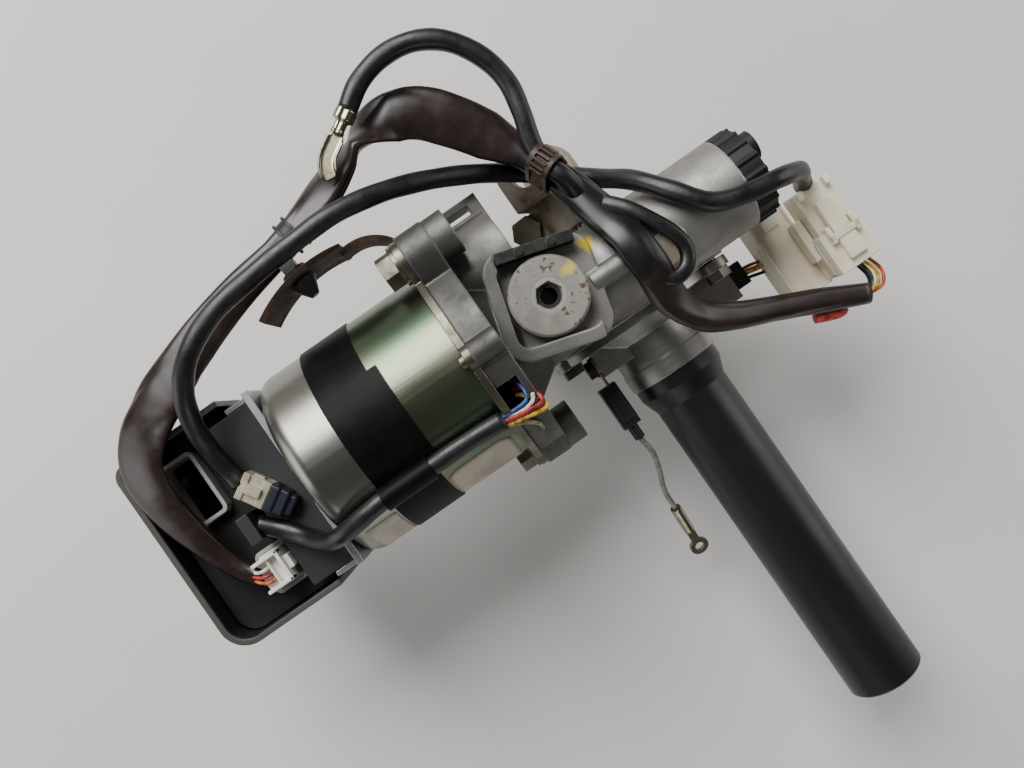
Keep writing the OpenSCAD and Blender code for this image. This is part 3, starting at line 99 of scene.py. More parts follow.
def swept_tube(name, route, section):
    """Closed tube along a route; section(share) gives its outline across the path, in metres."""
    rings = []
    total = len(route) - 1
    for i, point in enumerate(route):
        ahead = (route[min(i + 1, total)] - route[max(i - 1, 0)]).normalized()
        side = ahead.cross(Vector((0, 0, 1))).normalized()
        up = side.cross(ahead)
        rings.append([point + side * u + up * v for u, v in section(i / total)])
    count = len(rings[0])
    mesh = bpy.data.meshes.new(name)
    verts = [v for ring in rings for v in ring] + [route[0], route[-1]]
    faces = [(i * count + k, i * count + (k + 1) % count,
              (i + 1) * count + (k + 1) % count, (i + 1) * count + k)
             for i in range(total) for k in range(count)]
    faces += [((k + 1) % count, k, len(verts) - 2) for k in range(count)]
    faces += [(total * count + k, total * count + (k + 1) % count, len(verts) - 1) for k in range(count)]
    mesh.from_pydata(verts, [], faces)
    along = mesh.uv_layers.new(name="along")
    for face in mesh.polygons:
        face.use_smooth = True
        for loop in face.loop_indices:
            index = mesh.loops[loop].vertex_index
            tip = index - count * (total + 1)
            row = index // count if tip < 0 else (0 if tip == 0 else total)
            along.data[loop].uv = ((index % count) / count, row / total)
    mesh.update()
    return into_scene(name, mesh)


def oval(width, height, turn=0.0, sides=20, ripple=0.0, phase=0.0):
    """Outline of a flattened tube, in metres, rolled by turn and creased inwards by a share of its size."""
    squareness = 0.85
    points = []
    for k in range(sides):
        a = 2 * math.pi * k / sides
        broad = abs(math.sin(1.5 * a + phase)) ** 0.6
        sharp = 0.5 * abs(math.sin(2.5 * a - 0.7 * phase))
        swell = 1 - ripple * (1 - broad + sharp)
        u = width / 2 * math.copysign(abs(math.cos(a)) ** squareness, math.cos(a)) * swell
        v = height / 2 * math.copysign(abs(math.sin(a)) ** squareness, math.sin(a)) * swell
        points.append((u * math.cos(turn) - v * math.sin(turn), u * math.sin(turn) + v * math.cos(turn)))
    return points


def linear(code):
    """Linear colour from an sRGB hex value."""
    parts = [int(code[i:i + 2], 16) / 255 for i in (1, 3, 5)]
    return (*[c / 12.92 if c <= 0.04045 else ((c + 0.055) / 1.055) ** 2.4 for c in parts], 1.0)


def feed(node, sockets):
    """Gives a node's sockets a constant, an output, or the first output in use of another node."""
    for key, value in sockets.items():
        if isinstance(value, bpy.types.Node):
            value = next(output for output in value.outputs if output.enabled)
        if isinstance(value, bpy.types.NodeSocket):
            node.id_data.links.new(value, node.inputs[key])
        else:
            node.inputs[key].default_value = value


def put(tree, kind, sockets=None, stops=(), **settings):
    """Adds a node with its settings and links; a colour ramp's stops are (place, hex)."""
    made = tree.nodes.new(kind)
    for key, value in settings.items():
        setattr(made, key, value)
    feed(made, sockets or {})
    if stops:
        for spot, code in stops[1:-1]:
            made.color_ramp.elements.new(spot)
        for element, (spot, code) in zip(made.color_ramp.elements, stops):
            element.position = spot
            element.color = linear(code)
    return made


def surface(name, sockets):
    """New material with its shader's constant sockets set; returns it, its node tree and its shader."""
    made = bpy.data.materials.new(name)
    made.use_nodes = True
    shader = made.node_tree.nodes["Principled BSDF"]
    feed(shader, sockets)
    return made, made.node_tree, shader


# Soft vinyl (PVC) tubing, extruded: glossy where it is stretched, with creases along it and dust on top,
# and black where the tape is. A pattern's scale is 1000 over its size in millimetres, here and below.
brown_vinyl, tree, shader = surface("brown_vinyl_tubing", {"IOR": 1.53})
spots = put(tree, "ShaderNodeTexCoord")
folds = put(tree, "ShaderNodeMapping", {"Vector": spots.outputs["UV"], "Scale": (2.0, 15.0, 1.0)})
creases = put(tree, "ShaderNodeTexNoise", {"Vector": folds, "Scale": 1.3, "Detail": 2.0, "Roughness": 0.4})
dust = put(tree, "ShaderNodeTexNoise", {
    "Vector": spots.outputs["Object"], "Scale": 1000 / 14, "Detail": 5.0, "Roughness": 0.7})
brown = put(tree, "ShaderNodeValToRGB", {"Fac": dust},
            [(0.3, "#180f0d"), (0.55, "#241714"), (0.75, "#352622")])
black = put(tree, "ShaderNodeValToRGB", {"Fac": dust},
            [(0.3, "#080808"), (0.55, "#0d0c0d"), (0.75, "#181717")])
along = put(tree, "ShaderNodeSeparateXYZ", {"Vector": spots.outputs["UV"]})
wound = put(tree, "ShaderNodeValToRGB", {"Fac": along.outputs["Y"]}, [
    (0.0, "#000000"), (0.655, "#000000"), (0.66, "#ffffff"), (0.80, "#ffffff"), (0.805, "#000000")])
tint = put(tree, "ShaderNodeMix", {"Factor": wound, "A": brown, "B": black}, data_type="RGBA")
gloss = put(tree, "ShaderNodeMapRange", {
    "Value": dust, "From Min": 0.3, "From Max": 0.75, "To Min": 0.26, "To Max": 0.42})
dents = put(tree, "ShaderNodeBump", {"Height": creases, "Strength": 0.5, "Distance": 0.002})
feed(shader, {"Base Color": tint, "Roughness": gloss, "Normal": dents})

sleeve_points = course(
    (-193.2, -23, 54), (-198, -17, 54), (-202, -7, 55), (-205, 5, 57), (-207, 17, 59), (-207, 29, 62),
    (-204, 40, 64), (-196, 49, 65), (-185, 56, 65), (-170, 63, 64), (-153, 70, 62), (-133, 76, 60),
    (-114, 80, 58), (-98, 84, 58), (-82, 90, 58), (-66, 97, 58), (-52, 100, 58), (-38, 96, 57),
    (-26, 84, 55), (-16, 70, 52), (-8, 55, 50), (-2, 38, 53), (1, 22, 61), (3, 6, 69),
    (4, -10, 69), (6, -24, 60), (13, -37, 50), (26, -46, 44), (44, -54, 38), (62, -62, 33), (83, -72, 29))
sleeve_route = smooth_route(sleeve_points, 8)
# Share of the length, then the flattened sleeve's width and thickness there in millimetres, and its roll
sleeve_girth = (
    (0.0, 8.0, 7.0, 0.0), (0.05, 9.5, 7.5, 0.1), (0.1, 14.0, 7.5, 0.3), (0.15, 20.0, 7.0, 0.5),
    (0.21, 22.5, 6.5, 0.35), (0.28, 21.0, 7.0, 0.1), (0.35, 16.0, 9.0, 0.0), (0.40, 12.6, 11.4, 0.0),
    (0.425, 14.0, 10.0, 0.1), (0.46, 18.0, 7.0, 0.4), (0.49, 21.0, 6.5, 0.8), (0.505, 20.0, 7.0, 1.25),
    (0.525, 19.0, 7.5, 0.5), (0.55, 22.0, 6.5, 0.0), (0.59, 23.0, 6.0, -0.15), (0.63, 21.0, 7.0, -0.1),
    (0.66, 13.0, 11.0, 0.0), (0.675, 12.0, 11.6, 0.0), (0.70, 15.0, 8.0, 0.1), (0.74, 17.0, 7.5, 0.2),
    (0.79, 16.0, 8.0, 0.0), (0.83, 17.5, 7.0, 0.3), (0.86, 15.0, 8.5, 0.6), (0.88, 14.0, 8.5, 0.1),
    (0.93, 11.5, 8.0, -0.1), (0.97, 11.5, 8.0, 0.0), (1.0, 10.0, 7.5, 0.0))


def sleeve_section(share):
    """Sleeve's creased outline at a share of its length."""
    stations = [g[0] for g in sleeve_girth]
    width, height, turn = (float(np.interp(share, stations, [g[k] for g in sleeve_girth])) for k in (1, 2, 3))
    wander = 9 * share + 1.2 * math.sin(23 * share)
    return oval(width / 1000, height / 1000, turn, sides=40, ripple=0.11, phase=wander)


harness_sleeve = swept_tube("harness_sleeve_tube", sleeve_route, sleeve_section)
harness_sleeve.data.materials.append(brown_vinyl)
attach(harness_sleeve, "housing")
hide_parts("harness_sleeve")

# Power lead's terminal: a stamped and tinned brass tongue with rolled edges, which bends aside behind a
# barrel that is crimped on the lead with one deep groove.
lead_end = (-58, 107, 69)
lead_course = (-10 / math.hypot(10, 6), -6 / math.hypot(10, 6))


def from_lead_end(ahead, aside, above):
    """Point in metres from millimetres along, across and above the power lead's end."""
    c, s = lead_course
    x, y, z = lead_end
    return from_column(x + c * ahead - s * aside, y + s * ahead + c * aside, z + above)


barrel_length, barrel_sides, barrel_rings = 10, 28, 30
barrel_places, barrel_radii = (0.0, 0.3, 4.4, 5.2, 8.8, 9.2, 10.0), (3.9, 4.3, 4.3, 2.5, 2.5, 2.9, 2.7)
groove_depth, groove_spread = 0.25, 0.3


def crimp_section(share):
    """Round barrel with a groove along its top."""
    size = float(np.interp(barrel_length * share, barrel_places, barrel_radii)) / 1000
    outline = []
    for k in range(barrel_sides):
        a = 2 * math.pi * k / barrel_sides
        radius = size * (1 - groove_depth * math.exp(-((a - math.pi / 2) / groove_spread) ** 2))
        outline.append((radius * math.cos(a), radius * math.sin(a)))
    return outline


barrel_route = [from_lead_end(barrel_length * k / barrel_rings, 0, 0) for k in range(barrel_rings + 1)]
lead_crimp = swept_tube("lead_crimp_barrel", barrel_route, crimp_section)


def grid_into_scene(name, grid):
    """Object in the scene with the faces of a finished bmesh."""
    mesh = bpy.data.meshes.new(name)
    grid.to_mesh(mesh)
    grid.free()
    return into_scene(name, mesh)


tongue_start, tongue_length, tongue_half, tongue_drop = 9, 19.5, 3.4, 1.9
straight, bend_radius = 8, 12
flat_half, roll_width, roll_height = 1.9, 1.6, 1.5
tip_start, rows, strips = 16.5, 36, 12
tongue = bmesh.new()
tongue_lines = []
for i in range(rows + 1):
    run = tongue_length * i / rows
    bend = max(0.0, run - straight) / bend_radius
    neck = min(1.0, 0.6 + run / 8)
    tip = math.sqrt(max(0.12, 1 - max(0.0, run - tip_start) ** 2 / 10))
    line = []
    for j in range(strips + 1):
        across = (2 * j / strips - 1) * tongue_half * neck * tip
        rolled = min(1.0, max(0.0, abs(across) - flat_half) / roll_width)
        rise = roll_height * (1 - math.sqrt(1 - rolled ** 2)) - tongue_drop
        ahead = tongue_start + min(run, straight) + (bend_radius - across) * math.sin(bend)
        aside = bend_radius - (bend_radius - across) * math.cos(bend)
        line.append(tongue.verts.new(from_lead_end(ahead, aside, rise)))
    tongue_lines.append(line)
for low, high in zip(tongue_lines, tongue_lines[1:]):
    for j in range(strips):
        tongue.faces.new((low[j], high[j], high[j + 1], low[j + 1])).smooth = True
lead_tongue = grid_into_scene("lead_tongue", tongue)
sheet_metal = lead_tongue.modifiers.new("sheet", "SOLIDIFY")
sheet_metal.thickness = 0.0007
sheet_metal.offset = 0.0
for piece in (lead_crimp, lead_tongue):
    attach(piece, "housing")
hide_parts("power_terminal")

# Black cables: the signal cable from the coupler to the upper plug block, the power lead that leaves the
# loom at the tie, and the motor lead under the tape. Extruded vinyl jackets over stranded copper.
# The vinyl is smooth and black with a soft satin gloss, duller where dust has settled on it.
black_vinyl, tree, shader = surface("black_vinyl_jacket", {"IOR": 1.53})
place = put(tree, "ShaderNodeTexCoord").outputs["Object"]
dust = put(tree, "ShaderNodeTexNoise", {"Vector": place, "Scale": 1000 / 9, "Detail": 6.0, "Roughness": 0.7})
dusty = put(tree, "ShaderNodeValToRGB", {"Fac": dust},
            [(0.35, "#070708"), (0.6, "#0c0c0d"), (0.8, "#171718")])
gloss = put(tree, "ShaderNodeMapRange", {
    "Value": dust, "From Min": 0.3, "From Max": 0.75, "To Min": 0.3, "To Max": 0.55})
creases = put(tree, "ShaderNodeTexNoise", {"Vector": place, "Scale": 1000 / 7, "Detail": 3.0})
dents = put(tree, "ShaderNodeBump", {"Height": creases, "Strength": 0.25, "Distance": 0.0008})
feed(shader, {"Base Color": dusty, "Roughness": gloss, "Normal": dents})

# Diameter in millimetres, length in metres, far end, stiffness and stations of each
black_cords = {
    "signal_cable": (8.0, 0.383, "object", "medium", (
        (-177, 12, 60), (-178, 20, 61), (-178, 30, 65), (-176, 40, 71), (-170, 51, 78), (-160, 61, 81),
        (-144, 69, 80), (-124, 73, 77), (-105, 75, 75), (-86, 76, 73), (-67, 74, 68), (-50, 70, 61),
        (-33, 64, 52), (-16, 56, 42), (-1, 46, 37), (11, 34, 44), (20, 23, 58), (28, 10, 67), (38, -3, 69),
        (52, -8, 69), (65, -10, 67.5), (77.5, -12, 56), (83, -14, 41), (86, -18, 30))),
    "power_lead": (8.0, 0.135, "fitting", "stiff", (
        (-0.5, 30, 57), (-2.6, 39, 62.5), (-5.6, 48, 61.8), (-5, 58, 62.5), (-2, 69, 64), (0, 82, 65),
        (-3, 95, 67), (-11, 107, 69), (-22, 114, 70), (-35, 116, 70), (-48, 113, 70), lead_end)),
    "motor_lead": (7.6, 0.123, "object", "medium", (
        (-76, -26, 82), (-94, -25, 82), (-112, -25, 82), (-130, -25, 82), (-141, -26, 82), (-151, -27, 79),
        (-159, -26, 71), (-166, -21, 62.5), (-173, -13.5, 59), (-181, -5, 59))),
}
for cord_name, (thickness, length, far_end, stiffness, stations) in black_cords.items():
    points = course(*stations)
    route = smooth_route(points, 8)

    def jacket(share, across=thickness / 1000, wobble=40 * length):
        """Round outline, out of true by 2% here and there."""
        return oval(across * (1 + 0.02 * math.sin(9 * wobble * share)),
                    across * (1 + 0.02 * math.cos(7 * wobble * share)), sides=18)

    cable = swept_tube(cord_name + "_jacket", route, jacket)
    cable.data.materials.append(black_vinyl)
    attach(cable, "housing")
    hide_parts(cord_name)

# Ground wire: a thin stranded lead that droops from the collar's moulded ground block to a crimped ring
# terminal. Its vinyl insulation is grey and half dull, with dirt rubbed into it.
ground_thick = 0.0026
grey_vinyl, tree, shader = surface("grey_wire_insulation", {"IOR": 1.5, "Roughness": 0.45})
place = put(tree, "ShaderNodeTexCoord").outputs["Object"]
dust = put(tree, "ShaderNodeTexNoise", {"Vector": place, "Scale": 1000 / 3, "Detail": 4.0})
dusty = put(tree, "ShaderNodeValToRGB", {"Fac": dust}, [(0.3, "#5f5d58"), (0.7, "#8f8c84")])
feed(shader, {"Base Color": dusty})
ground_points = course(
    (-32, -70, 9), (-31, -79, 7), (-32.5, -88, 1), (-35.3, -100.1, -10.3), (-35.3, -110.7, -15.9))
ground_route = smooth_route(ground_points, 8)
ground_wire = swept_tube("ground_wire_lead", ground_route,
                         lambda share: oval(ground_thick, ground_thick, sides=12))
ground_wire.data.materials.append(grey_vinyl)
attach(ground_wire, "housing")
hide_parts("ground_wire")


# Colour-coded wires: thin insulated leads that come out of the motor's window, out of the loom's two ends
# into the plugs there, and out of the sensor plug into the lower plug block.
def wire_insulation(name, code):
    """Extruded vinyl of one colour: glossy, and darker where grime sticks to it."""
    made, tree, shader = surface(name, {"IOR": 1.5, "Roughness": 0.4})
    place = put(tree, "ShaderNodeTexCoord").outputs["Object"]
    grime = put(tree, "ShaderNodeTexNoise", {"Vector": place, "Scale": 1000 / 2.5, "Detail": 4.0})
    darker = "#" + "".join(f"{int(int(code[i:i + 2], 16) * 0.55):02x}" for i in (1, 3, 5))
    grimy = put(tree, "ShaderNodeValToRGB", {"Fac": grime}, [(0.35, darker), (0.55, code)])
    relief = put(tree, "ShaderNodeBump", {"Height": grime, "Strength": 0.2, "Distance": 0.0002})
    feed(shader, {"Base Color": grimy, "Normal": relief})
    return made


wire_colours = {"blue": "#2b4f8f", "white": "#ddd8cb", "red": "#b3282b", "yellow": "#d8ab2c",
                "black": "#161617", "green": "#8f9468", "orange": "#c8612a"}
insulation = {name: wire_insulation(name + "_wire_insulation", code) for name, code in wire_colours.items()}
# Colour, diameter in millimetres and stations of each: window, plug blocks, white plug, sensor plug
short_wires = (
    ("blue", 1.7, ((-67, -12, 74), (-65, -15, 78), (-63.5, -21, 80.5), (-66, -25, 81.5), (-77, -25, 82.4))),
    ("white", 1.7, ((-67, -14, 74), (-63, -17, 78), (-61.5, -23, 80.5), (-65, -27, 81.5), (-77, -26.8, 82.6))),
    ("black", 1.7, ((-67, -16, 74), (-62.5, -19, 77), (-60.5, -26, 79), (-66, -28, 80.5), (-77, -27.5, 81))),
    ("red", 1.8, ((-67, -18, 74), (-61.5, -22, 78.5), (-60, -28, 81), (-66, -28.4, 83), (-77, -26.5, 83.8))),
    ("yellow", 1.8, ((-67, -21, 74), (-61, -26, 77.5), (-60, -31, 80), (-66, -30.4, 82), (-77, -28.2, 82.6))),
    ("green", 1.6, ((-76, -28.6, 80.4), (-70, -31.5, 78.5), (-66, -35, 73), (-65.6, -38, 66), (-66, -39.6, 60))),
    ("yellow", 1.6, ((82, -71.5, 30), (88, -71, 30.5), (91, -66, 30), (89.5, -60, 29), (89, -56, 28.5))),
    ("orange", 1.6, ((83, -72.5, 29), (90, -72.5, 29.5), (93.5, -67, 29), (92, -60, 28.5), (91.5, -56, 28))),
    ("black", 1.6, ((82, -70.8, 28), (86, -69.5, 28), (87.5, -65.5, 28), (86.5, -60, 28), (86, -56, 28))),
    ("green", 1.6, ((82, -71.5, 27), (87, -70.6, 26.5), (89.5, -66, 26.5), (88.5, -60, 27), (88, -56, 27))),
    ("red", 1.5, ((-196.5, -20, 55.6), (-194, -22.4, 57.4), (-191, -24, 58.6), (-188, -24.5, 57.2))),
    ("white", 1.5, ((-195.5, -19, 55.6), (-193, -20.8, 57.4), (-190.5, -21.6, 58.6), (-188, -21.6, 57.2))),
    ("orange", 1.5, ((-197.5, -20.6, 54.8), (-195, -24, 56.6), (-191.6, -26.6, 58.2), (-188, -27.2, 57))),
    ("yellow", 1.6, ((46, -36, 0), (53, -36.6, 0.6), (56.5, -37.4, 4), (58, -37.6, 8.5), (61, -37.6, 10.5))),
    ("red", 1.6, ((46, -33.6, -0.6), (53.6, -33.8, -0.4), (57, -34.4, 3), (58, -34.8, 7), (61, -34.8, 9))),
    ("black", 1.6, ((46, -38, -2), (53, -38.8, -2), (56.8, -39.8, 1), (58, -40.2, 5), (61, -40.2, 7))),
    ("green", 1.6, ((46, -35, -3.4), (54, -35.4, -3.6), (57.2, -36.2, 0), (58.2, -36.4, 3), (61, -36.4, 5))),
)
for number, (hue, thickness, stations) in enumerate(short_wires):
    wire = swept_tube(f"short_wire_{number}_{hue}", smooth_route(course(*stations), 6),
                      lambda share, across=thickness / 1000: oval(across, across, sides=10))
    wire.data.materials.append(insulation[hue])
    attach(wire, "housing")

# Spare branch: a thin limp black vinyl sleeve that leaves the loom's wound part, bends back on the worm
# tube and goes in again under the loom.
branch_width, branch_height = 0.0064, 0.0050
branch_route = smooth_route(course(
    (4, 22, 64), (10, 14, 67), (15, 5, 67.6), (19.5, -4, 66.4), (20.6, -11.5, 65), (17, -17.6, 65),
    (10.5, -19, 65.6), (5, -15, 66.4)), 8)
branch = swept_tube("spare_branch", branch_route,
                    lambda share: oval(branch_width, branch_height, ripple=0.03, phase=4 * share))
branch.data.materials.append(black_vinyl)
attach(branch, "housing")

# Red end cap: a vinyl cap, dipped on a former, over a spare splice that lies against the loom near its
# end. Thick soft red vinyl with a round closed tip.
cap_radius, cap_sides, tip_share = 0.0027, 18, 0.6
cap_route = smooth_route(course(
    (58.5, -68, 27.4), (63.5, -70.2, 26.8), (68.3, -72, 26.2), (73, -73.4, 25.8)), 6)


def cap_section(share):
    """Round outline that closes over the tip."""
    size = cap_radius * math.sqrt(max(0.02, 1 - max(0.0, share - tip_share) ** 2 / (1 - tip_share) ** 2))
    angles = [2 * math.pi * k / cap_sides for k in range(cap_sides)]
    return [(size * math.cos(a), size * math.sin(a)) for a in angles]


splice_cap = swept_tube("splice_cap", cap_route, cap_section)
splice_cap.data.materials.append(wire_insulation("dipped_red_vinyl", "#cc4541"))
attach(splice_cap, "housing")


# Plug blocks: the two white connectors at the loom's end, injection moulded in natural nylon. Ribs run
# along the lower one, and the upper one has a latch and two horns.
def moulding(name, boxes, rounding_mm, turn=0.0, about=(0, 0, 0)):
    """One piece of boxes, each by two corners in column millimetres, turned about a point, edges rounded."""
    grid = bmesh.new()
    spin = Matrix.Rotation(turn, 3, "Z")
    for low, high in boxes:
        corners = bmesh.ops.create_cube(grid, size=1.0)["verts"]
        for corner in corners:
            local = Vector([low[k] + (corner.co[k] + 0.5) * (high[k] - low[k]) for k in range(3)])
            corner.co = from_column(*(spin @ local + Vector(about)))
    made = grid_into_scene(name, grid)
    rounded = made.modifiers.new("rounding", "BEVEL")
    rounded.width = rounding_mm / 1000
    rounded.segments = 2
    return made


# Unfilled nylon, moulded: waxy cream white that lets a little light through, with a faint matt grain,
# drawn coarser than the real one so that it shows.
natural_nylon, tree, shader = surface("natural_nylon", {
    "IOR": 1.53, "Subsurface Weight": 0.45, "Subsurface Scale": 0.004, "Subsurface Radius": (1.0, 0.92, 0.75)})
place = put(tree, "ShaderNodeTexCoord").outputs["Object"]
cloud = put(tree, "ShaderNodeTexNoise", {"Vector": place, "Scale": 1000 / 18, "Detail": 4.0})
creamy = put(tree, "ShaderNodeValToRGB", {"Fac": cloud},
             [(0.3, "#dccfb2"), (0.5, "#ebe0c7"), (0.75, "#f2ebd9")])
gloss = put(tree, "ShaderNodeMapRange", {"Value": cloud, "To Min": 0.3, "To Max": 0.5})
grain = put(tree, "ShaderNodeTexNoise", {"Vector": place, "Scale": 1000 / 0.6, "Detail": 2.0})
relief = put(tree, "ShaderNodeBump", {"Height": grain, "Strength": 0.15, "Distance": 0.0001})
feed(shader, {"Base Color": creamy, "Roughness": gloss, "Normal": relief})
lower_block = moulding("lower_plug_housing", (
    ((59, -60, 1), (77, -8, 18.6)), ((59, -60, 18), (60.4, -8, 20)), ((75.6, -60, 18), (77, -8, 20)),
    ((59, -10, 18), (77, -8, 20)), ((59, -60, 18), (77, -58.6, 20)), ((64, -26, 18), (72, -16, 19.6)),
    ((58.4, -44, 4), (60, -30, 14)), ((76, -30, 4), (77.6, -16, 14))), rounding_mm=0.6)
upper_block = moulding("upper_plug_housing", (
    ((76, -59, 20), (96, -40, 36.6)), ((77.6, -41, 20), (94.4, -19, 34.6)), ((73, -49, 20), (77, -29, 28)),
    ((82, -55, 36), (90, -27, 39.4)), ((79, -46, 34), (81.2, -38, 40)), ((90.8, -46, 34), (93, -38, 40)),
    ((79, -45, 38.6), (93, -42, 40)), ((78, -23, 34), (80.6, -19, 38.4)), ((91.4, -23, 34), (94, -19, 38.4)),
    ((75.4, -58, 26), (77, -42, 30)), ((95, -58, 26), (96.6, -42, 30))), rounding_mm=0.5)
for block, node in ((lower_block, "plug_block_lower"), (upper_block, "plug_block_upper")):
    block.data.materials.append(natural_nylon)
    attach(block, "housing")
    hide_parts(node)

# Floor: a pale, slightly mottled sheet of matt paper that the column stands over, with a large soft light
# to the upper left of the picture and three weak ones low down that stand for the room's pale walls.
paper, tree, shader = surface("pale_paper", {"Roughness": 0.85, "Specular IOR Level": 0.2})
place = put(tree, "ShaderNodeTexCoord").outputs["Object"]
clouds = put(tree, "ShaderNodeTexNoise", {"Vector": place, "Scale": 1000 / 350, "Detail": 3.0})
mottled = put(tree, "ShaderNodeValToRGB", {"Fac": clouds}, [(0.3, "#d6d4d1"), (0.7, "#e0dedb")])
feed(shader, {"Base Color": mottled})
bpy.ops.mesh.primitive_plane_add(size=6.0, location=(0, 0, cad_box[0][2] - 0.0002))
floor = bpy.context.object
floor.name = "floor"
floor.data.materials.append(paper)

world = bpy.data.worlds.new("studio")
bpy.context.scene.world = world
world.use_nodes = True
feed(world.node_tree.nodes["Background"], {"Color": linear("#e8e6e3"), "Strength": 0.16})
aim = Vector((0, 0, -0.05))
for light_name, spot, power in (
        ("key", (-0.1, 0.95, 1.0), 31.0), ("right_wall", (1.3, -0.2, 0.42), 6.0),
        ("left_wall", (-1.3, 0.25, 0.42), 6.0), ("front_wall", (-0.55, -1.25, 0.38), 3.5)):
    glow = bpy.data.lights.new(light_name, "AREA")
    glow.size = 0.9
    glow.energy = power
    lamp = into_scene(light_name, glow)
    lamp.location = spot
    lamp.rotation_euler = (aim - Vector(spot)).to_track_quat("-Z", "Y").to_euler()


# Castings: the gear housing and the threaded worm adjuster are die-cast aluminium, and the sensor housing
# is cast and then turned where the column jacket seats on it.
def weathered(name, stops, blotch_mm, grain_mm, bump_mm, rough, swing, metallic=0.0, edge=None, edge_mm=0.7):
    """Material with blotches of several shades, a fine grain in relief and rounded edges, worn on most and a
    painted highlight on some; returns it, its node tree, its shader and the node that colours it."""
    made, tree, shader = surface(name, {"Metallic": metallic})
    place = put(tree, "ShaderNodeTexCoord").outputs["Object"]
    blotch = put(tree, "ShaderNodeTexNoise", {
        "Vector": place, "Scale": 1000 / blotch_mm, "Detail": 6.0, "Roughness": 0.62})
    colour = put(tree, "ShaderNodeValToRGB", {"Fac": blotch}, stops)
    soft = put(tree, "ShaderNodeBevel", {"Radius": edge_mm / 1000}, samples=4)
    # Most real grains are finer than half a millimetre and are drawn coarser, so that they show
    grain = put(tree, "ShaderNodeTexNoise", {"Vector": place, "Scale": 1000 / grain_mm, "Detail": 3.0})
    relief = put(tree, "ShaderNodeBump", {
        "Height": grain, "Normal": soft, "Strength": 0.6, "Distance": bump_mm / 1000})
    sheen = put(tree, "ShaderNodeMapRange", {
        "Value": blotch, "From Min": 0.3, "From Max": 0.7, "To Min": rough + swing, "To Max": rough - swing})
    if edge:
        face = put(tree, "ShaderNodeNewGeometry").outputs["Normal"]
        match = put(tree, "ShaderNodeVectorMath", {0: soft, 1: face}, operation="DOT_PRODUCT")
        edge_wear_and_highlight = put(tree, "ShaderNodeMapRange", {
            "Value": match, "From Min": 0.97, "From Max": 0.8, "To Min": 0.0, "To Max": 0.7})
        colour = put(tree, "ShaderNodeMix", {"Factor": edge_wear_and_highlight, "A": colour, "B": linear(edge)}, data_type="RGBA")
    feed(shader, {"Base Color": colour, "Roughness": sheen, "Normal": relief})
    return made, tree, shader, colour


# Die-cast aluminium: dull grey with a fine skin, stained in patches and brighter along handled edges
cast_aluminium, tree, shader, colour = weathered(
    "die_cast_aluminium", [(0.2, "#676661"), (0.45, "#787672"), (0.6, "#817f7a"), (0.85, "#908e89")],
    metallic=1.0, blotch_mm=14, grain_mm=0.8, bump_mm=0.14, rough=0.58, swing=0.1, edge="#bab9b5", edge_mm=1.4)
place = put(tree, "ShaderNodeTexCoord").outputs["Object"]
# Darker towards the motor and brighter along the worm tube
spot = put(tree, "ShaderNodeSeparateXYZ", {"Vector": place})
motorward_grade = put(tree, "ShaderNodeMapRange", {
    "Value": spot.outputs["X"], "From Min": -0.03, "From Max": 0.05, "To Min": 0.55, "To Max": 1.65})
graded_by_x = put(tree, "ShaderNodeMix", {"Factor": 1.0, "A": colour, "B": motorward_grade},
              data_type="RGBA", blend_type="MULTIPLY")
# Yellow inspection paint, dabbed on the casting beside the output shaft, with a frayed edge
dab_middle = (0.0250, 0.0093, -0.006)
near = put(tree, "ShaderNodeVectorMath", {0: place, 1: dab_middle}, operation="SUBTRACT")
flat = put(tree, "ShaderNodeVectorMath", {0: near, 1: (1.0, 1.0, 0.35)}, operation="MULTIPLY")
out = put(tree, "ShaderNodeVectorMath", {0: flat}, operation="LENGTH")
brush = put(tree, "ShaderNodeTexNoise", {"Vector": place, "Scale": 1000 / 5, "Detail": 3.0})
frayed = put(tree, "ShaderNodeMath", {0: brush, 1: 0.01, 2: out}, operation="MULTIPLY_ADD")
paint = put(tree, "ShaderNodeMapRange", {
    "Value": frayed, "From Min": 0.0090, "From Max": 0.0076, "To Min": 0.0, "To Max": 0.9})
dabbed = put(tree, "ShaderNodeMix", {"Factor": paint, "A": graded_by_x, "B": linear("#c9ac2e")}, data_type="RGBA")
feed(shader, {"Base Color": dabbed})

# Turned aluminium: paler and smoother than the cast skin, with rings of light round the column axis
turned_aluminium, tree, shader = weathered(
    "turned_aluminium", [(0.3, "#83817e"), (0.5, "#9a9895"), (0.75, "#b0aeab")], metallic=1.0,
    blotch_mm=20, grain_mm=1.2, bump_mm=0.06, rough=0.42, swing=0.08, edge="#b4b3b1", edge_mm=0.6)[:3]
place = put(tree, "ShaderNodeTexCoord").outputs["Object"]
# Real turning marks are half a millimetre apart, too fine to show, and are drawn 3.14 mm apart. A wave
# runs through 20 radians in each unit of its scale.
marks_mm = 3.14159
marks = put(tree, "ShaderNodeTexWave", {
    "Vector": place, "Scale": 2 * math.pi / 20 * 1000 / marks_mm, "Distortion": 0.6, "Detail": 1.0,
}, bands_direction="Y")
cast_skin = shader.inputs["Normal"].links[0].from_socket
ridge = put(tree, "ShaderNodeBump", {
    "Height": marks.outputs["Fac"], "Normal": cast_skin, "Strength": 0.25, "Distance": 0.0001})
feed(shader, {"Normal": ridge})


def dress(material, *names):
    """Gives CAD nodes their material."""
    for name in names:
        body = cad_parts[name].data
        body.materials.clear()
        body.materials.append(material)


dress(cast_aluminium, "gear_housing", "worm_adjuster")
dress(turned_aluminium, "sensor_housing")

